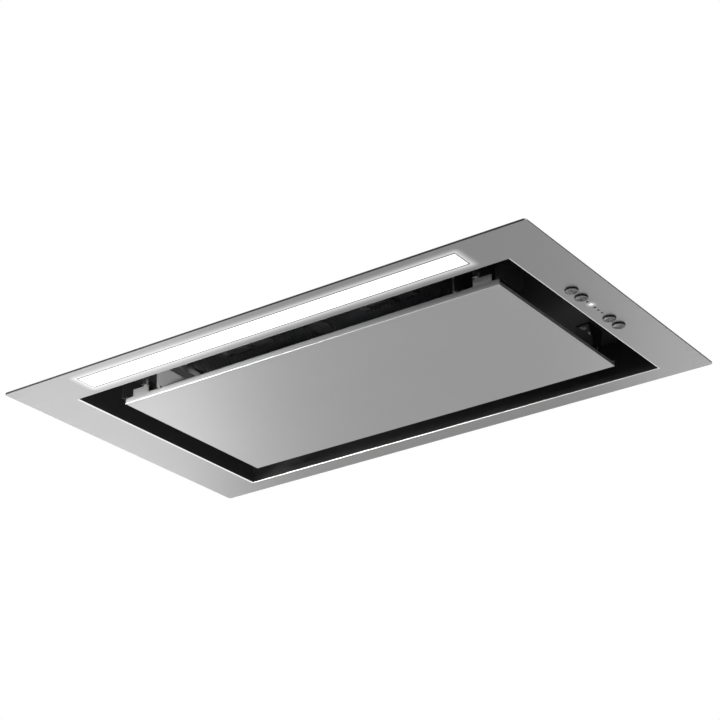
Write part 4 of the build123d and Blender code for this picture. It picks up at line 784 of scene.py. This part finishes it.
def makeSeams(name, low, high, values):
    radius, height, pin = values["headRadius"], values["headHeight"], values["pinRadius"]
    hollow = height - values["pinDepth"]
    rivet = [(0, 0), (radius, 0), (radius - 0.1, 0.3), (radius * 0.7, height * 0.8), (pin + 0.2, height)]
    rivet += [(pin, hollow), (0, hollow)]
    foot, top = low.z + values["footGap"] * mm, high.z - values["topGap"] * mm
    span = high.z - low.z - 2 * values["endGap"] * mm
    bm = bmesh.new()
    for wall, outward in ((low.x, -1), (high.x, 1)):
        tilt = Vector((outward, 0, 0)).to_track_quat("Z", "Y").to_matrix().to_4x4()
        face = wall + outward * values["thick"] * mm
        for edge, inward in ((low.y, 1), (high.y, -1)):
            start = edge + inward * values["inset"] * mm
            end = start + inward * values["width"] * mm
            corner = (min(wall, face), min(start, end), foot)
            opposite = (max(wall, face), max(start, end), top)
            softBox(bm, corner, opposite, values["edge"] * mm)
            for i in range(values["rivets"]):
                z = low.z + values["endGap"] * mm + span * i / (values["rivets"] - 1)
                turned(bm, inMetres(rivet), (face, (start + end) / 2, z), 24, tilt, materialIndex=1)
    addPiece(name, bm, [finishes["body_sheet"], finishes["screw_zinc"]], "hood")


makeSeams("bodySeams", *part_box("lower_body"), seamValues)
towerLow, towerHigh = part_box("motor_tower")
flange = Vector((seamValues["towerFlange"], seamValues["towerFlange"], 0)) * mm
makeSeams("towerSeams", towerLow + flange, towerHigh - flange, seamValues)
print("seams are made")


# World: white to the eye and to metal, softer as a lamp
worldValues = {"seen": 1.0, "lighting": 0.5}


def makeWorld(values):
    world = bpy.data.worlds.new("studio")
    bpy.context.scene.world = world
    world.use_nodes = True
    tree = world.node_tree
    tree.nodes.clear()
    path = tree.nodes.new("ShaderNodeLightPath")
    output = tree.nodes.new("ShaderNodeOutputWorld")
    seen = tree.nodes.new("ShaderNodeBackground")
    lighting = tree.nodes.new("ShaderNodeBackground")
    mixed = tree.nodes.new("ShaderNodeMixShader")
    seen.inputs["Color"].default_value = (1, 1, 1, 1)
    seen.inputs["Strength"].default_value = values["seen"]
    lighting.inputs["Color"].default_value = (1, 1, 1, 1)
    lighting.inputs["Strength"].default_value = values["lighting"]
    either = mathNode(tree, "MAXIMUM", path.outputs["Is Camera Ray"], path.outputs["Is Transmission Ray"])
    either = mathNode(tree, "MAXIMUM", either, path.outputs["Is Glossy Ray"])
    tree.links.new(either, mixed.inputs[0])
    tree.links.new(lighting.outputs[0], mixed.inputs[1])
    tree.links.new(seen.outputs[0], mixed.inputs[2])
    tree.links.new(mixed.outputs[0], output.inputs["Surface"])


makeWorld(worldValues)


# Stage: a pale floor a cooking height below, white far off, and the board that the hood is let into,
# which the eye sees only from below and which keeps the low lamps off what stands above it
stageValues = {
    "size": 120.0, "floorTone": 0.86, "floorRoughness": 0.9, "floorDrop": 1.55, "fadeFrom": 3.0,
    "fadeTo": 12.0, "boardGap": 0.0002, "boardBelow": 1.0, "boardAbove": 0.5,
}


def sheetWithHole(name, size, z, hole=None):
    mesh = bpy.data.meshes.new(name)
    half = size / 2
    outer = [(-half, -half, z), (half, -half, z), (half, half, z), (-half, half, z)]
    if hole is None:
        mesh.from_pydata(outer, [], [(0, 1, 2, 3)])
    else:
        hx, hy = hole
        inner = [(-hx, -hy, z), (hx, -hy, z), (hx, hy, z), (-hx, hy, z)]
        faces = [(i, (i + 1) % 4, (i + 1) % 4 + 4, i + 4) for i in range(4)]
        mesh.from_pydata(outer + inner, [], faces)
    obj = bpy.data.objects.new(name, mesh)
    bpy.context.scene.collection.objects.link(obj)
    return obj


def paleFloor(values):
    material, tree, shader = newMaterial("floorPale")
    place = tree.nodes.new("ShaderNodeTexCoord")
    away = tree.nodes.new("ShaderNodeVectorMath")
    away.operation = "LENGTH"
    tree.links.new(place.outputs["Object"], away.inputs[0])
    fade = tree.nodes.new("ShaderNodeMapRange")
    fade.interpolation_type = "SMOOTHSTEP"
    fade.inputs["From Min"].default_value = values["fadeFrom"]
    fade.inputs["From Max"].default_value = values["fadeTo"]
    tree.links.new(away.outputs["Value"], fade.inputs["Value"])
    far = fade.outputs["Result"]
    tree.links.new(mixColour(tree, far, grey(values["floorTone"]), grey(0.0)), shader.inputs["Base Color"])
    tree.links.new(mixColour(tree, far, grey(0.0), grey(1.0)), shader.inputs["Emission Color"])
    shader.inputs["Emission Strength"].default_value = 1.0
    shader.inputs["Roughness"].default_value = values["floorRoughness"]
    shader.inputs["Specular IOR Level"].default_value = 0.0
    return material


def cabinetWhite(values):
    material, tree, shader = newMaterial("boardWhite")
    output = tree.nodes["Material Output"]
    geometry = tree.nodes.new("ShaderNodeNewGeometry")
    path = tree.nodes.new("ShaderNodeLightPath")
    clear = tree.nodes.new("ShaderNodeBsdfTransparent")
    mixed = tree.nodes.new("ShaderNodeMixShader")
    seen = mathNode(tree, "MAXIMUM", path.outputs["Is Camera Ray"], path.outputs["Is Transmission Ray"])
    seen = mathNode(tree, "MAXIMUM", seen, path.outputs["Is Glossy Ray"])
    below = geometry.outputs["Backfacing"]
    shown = mathNode(tree, "MULTIPLY", seen, below)
    indirect = mathNode(tree, "MAXIMUM", path.outputs["Is Shadow Ray"], path.outputs["Is Glossy Ray"])
    fromAbove = mathNode(tree, "MULTIPLY", indirect, mathNode(tree, "SUBTRACT", 1.0, below))
    shown = mathNode(tree, "MAXIMUM", shown, fromAbove)
    shader.inputs["Base Color"].default_value = (0, 0, 0, 1)
    shader.inputs["Specular IOR Level"].default_value = 0.0
    tree.links.new(
        mixColour(tree, below, grey(values["boardAbove"]), grey(values["boardBelow"])),
        shader.inputs["Emission Color"])
    shader.inputs["Emission Strength"].default_value = 1.0
    tree.links.new(shown, mixed.inputs[0])
    tree.links.new(clear.outputs[0], mixed.inputs[1])
    tree.links.new(shader.outputs[0], mixed.inputs[2])
    tree.links.new(mixed.outputs[0], output.inputs["Surface"])
    return material


def makeStage(values):
    floor = sheetWithHole("floor", values["size"], -values["floorDrop"])
    floor.data.materials.append(paleFloor(values))
    high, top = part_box("lower_body")[1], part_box("face_frame")[1].z
    hole = (high.x + mm, high.y + mm)
    board = sheetWithHole("cabinetBoard", values["size"], top + values["boardGap"], hole)
    board.data.materials.append(cabinetWhite(values))


makeStage(stageValues)
print("stage is set")


# Soft lights: two from above, and below them the ones that the steel face mirrors
lightValues = {
    "overhead": {"place": (0.4, -0.8, 1.9), "target": (0, 0, 0.1), "size": 3.0, "power": 18.0},
    "side": {"place": (-1.8, 0.6, 1.1), "target": (0, 0, 0.1), "size": 2.4, "power": 8.0},
    "mirrorLeft": {"place": (-1.62, 1.22, -0.84), "target": (-0.2, 0, 0), "size": 0.7, "power": 2.7},
    "mirrorRight": {"place": (-0.3, 2.1, -0.85), "target": (0.3, 0.1, 0), "size": 0.6, "power": 1.5},
    "frontLow": {"place": (-1.0, -1.2, -0.2), "target": (-0.15, -0.1, 0), "size": 0.3, "power": 16.0},
    "gapLeft": {
        "place": (0.3, -1.1, -0.66), "target": (-0.24, -0.11, 0.02), "size": 0.15, "power": 1.1,
        "spread": 40.0,
    },
}


def makeLights(values):
    for name, light in values.items():
        data = bpy.data.lights.new(name, "AREA")
        data.shape = "SQUARE"
        data.size = light["size"]
        data.energy = light["power"]
        data.spread = math.radians(light.get("spread", 180.0))
        obj = bpy.data.objects.new(name, data)
        bpy.context.scene.collection.objects.link(obj)
        place = Vector(light["place"])
        aim = place - Vector(light["target"])
        obj.matrix_world = Matrix.Translation(place) @ aim.to_track_quat("Z", "Y").to_matrix().to_4x4()


makeLights(lightValues)
print("lights are set")

bpy.context.scene.view_settings.view_transform = "Standard"

for obj in nodes.values():
    shadeByAngle(obj)
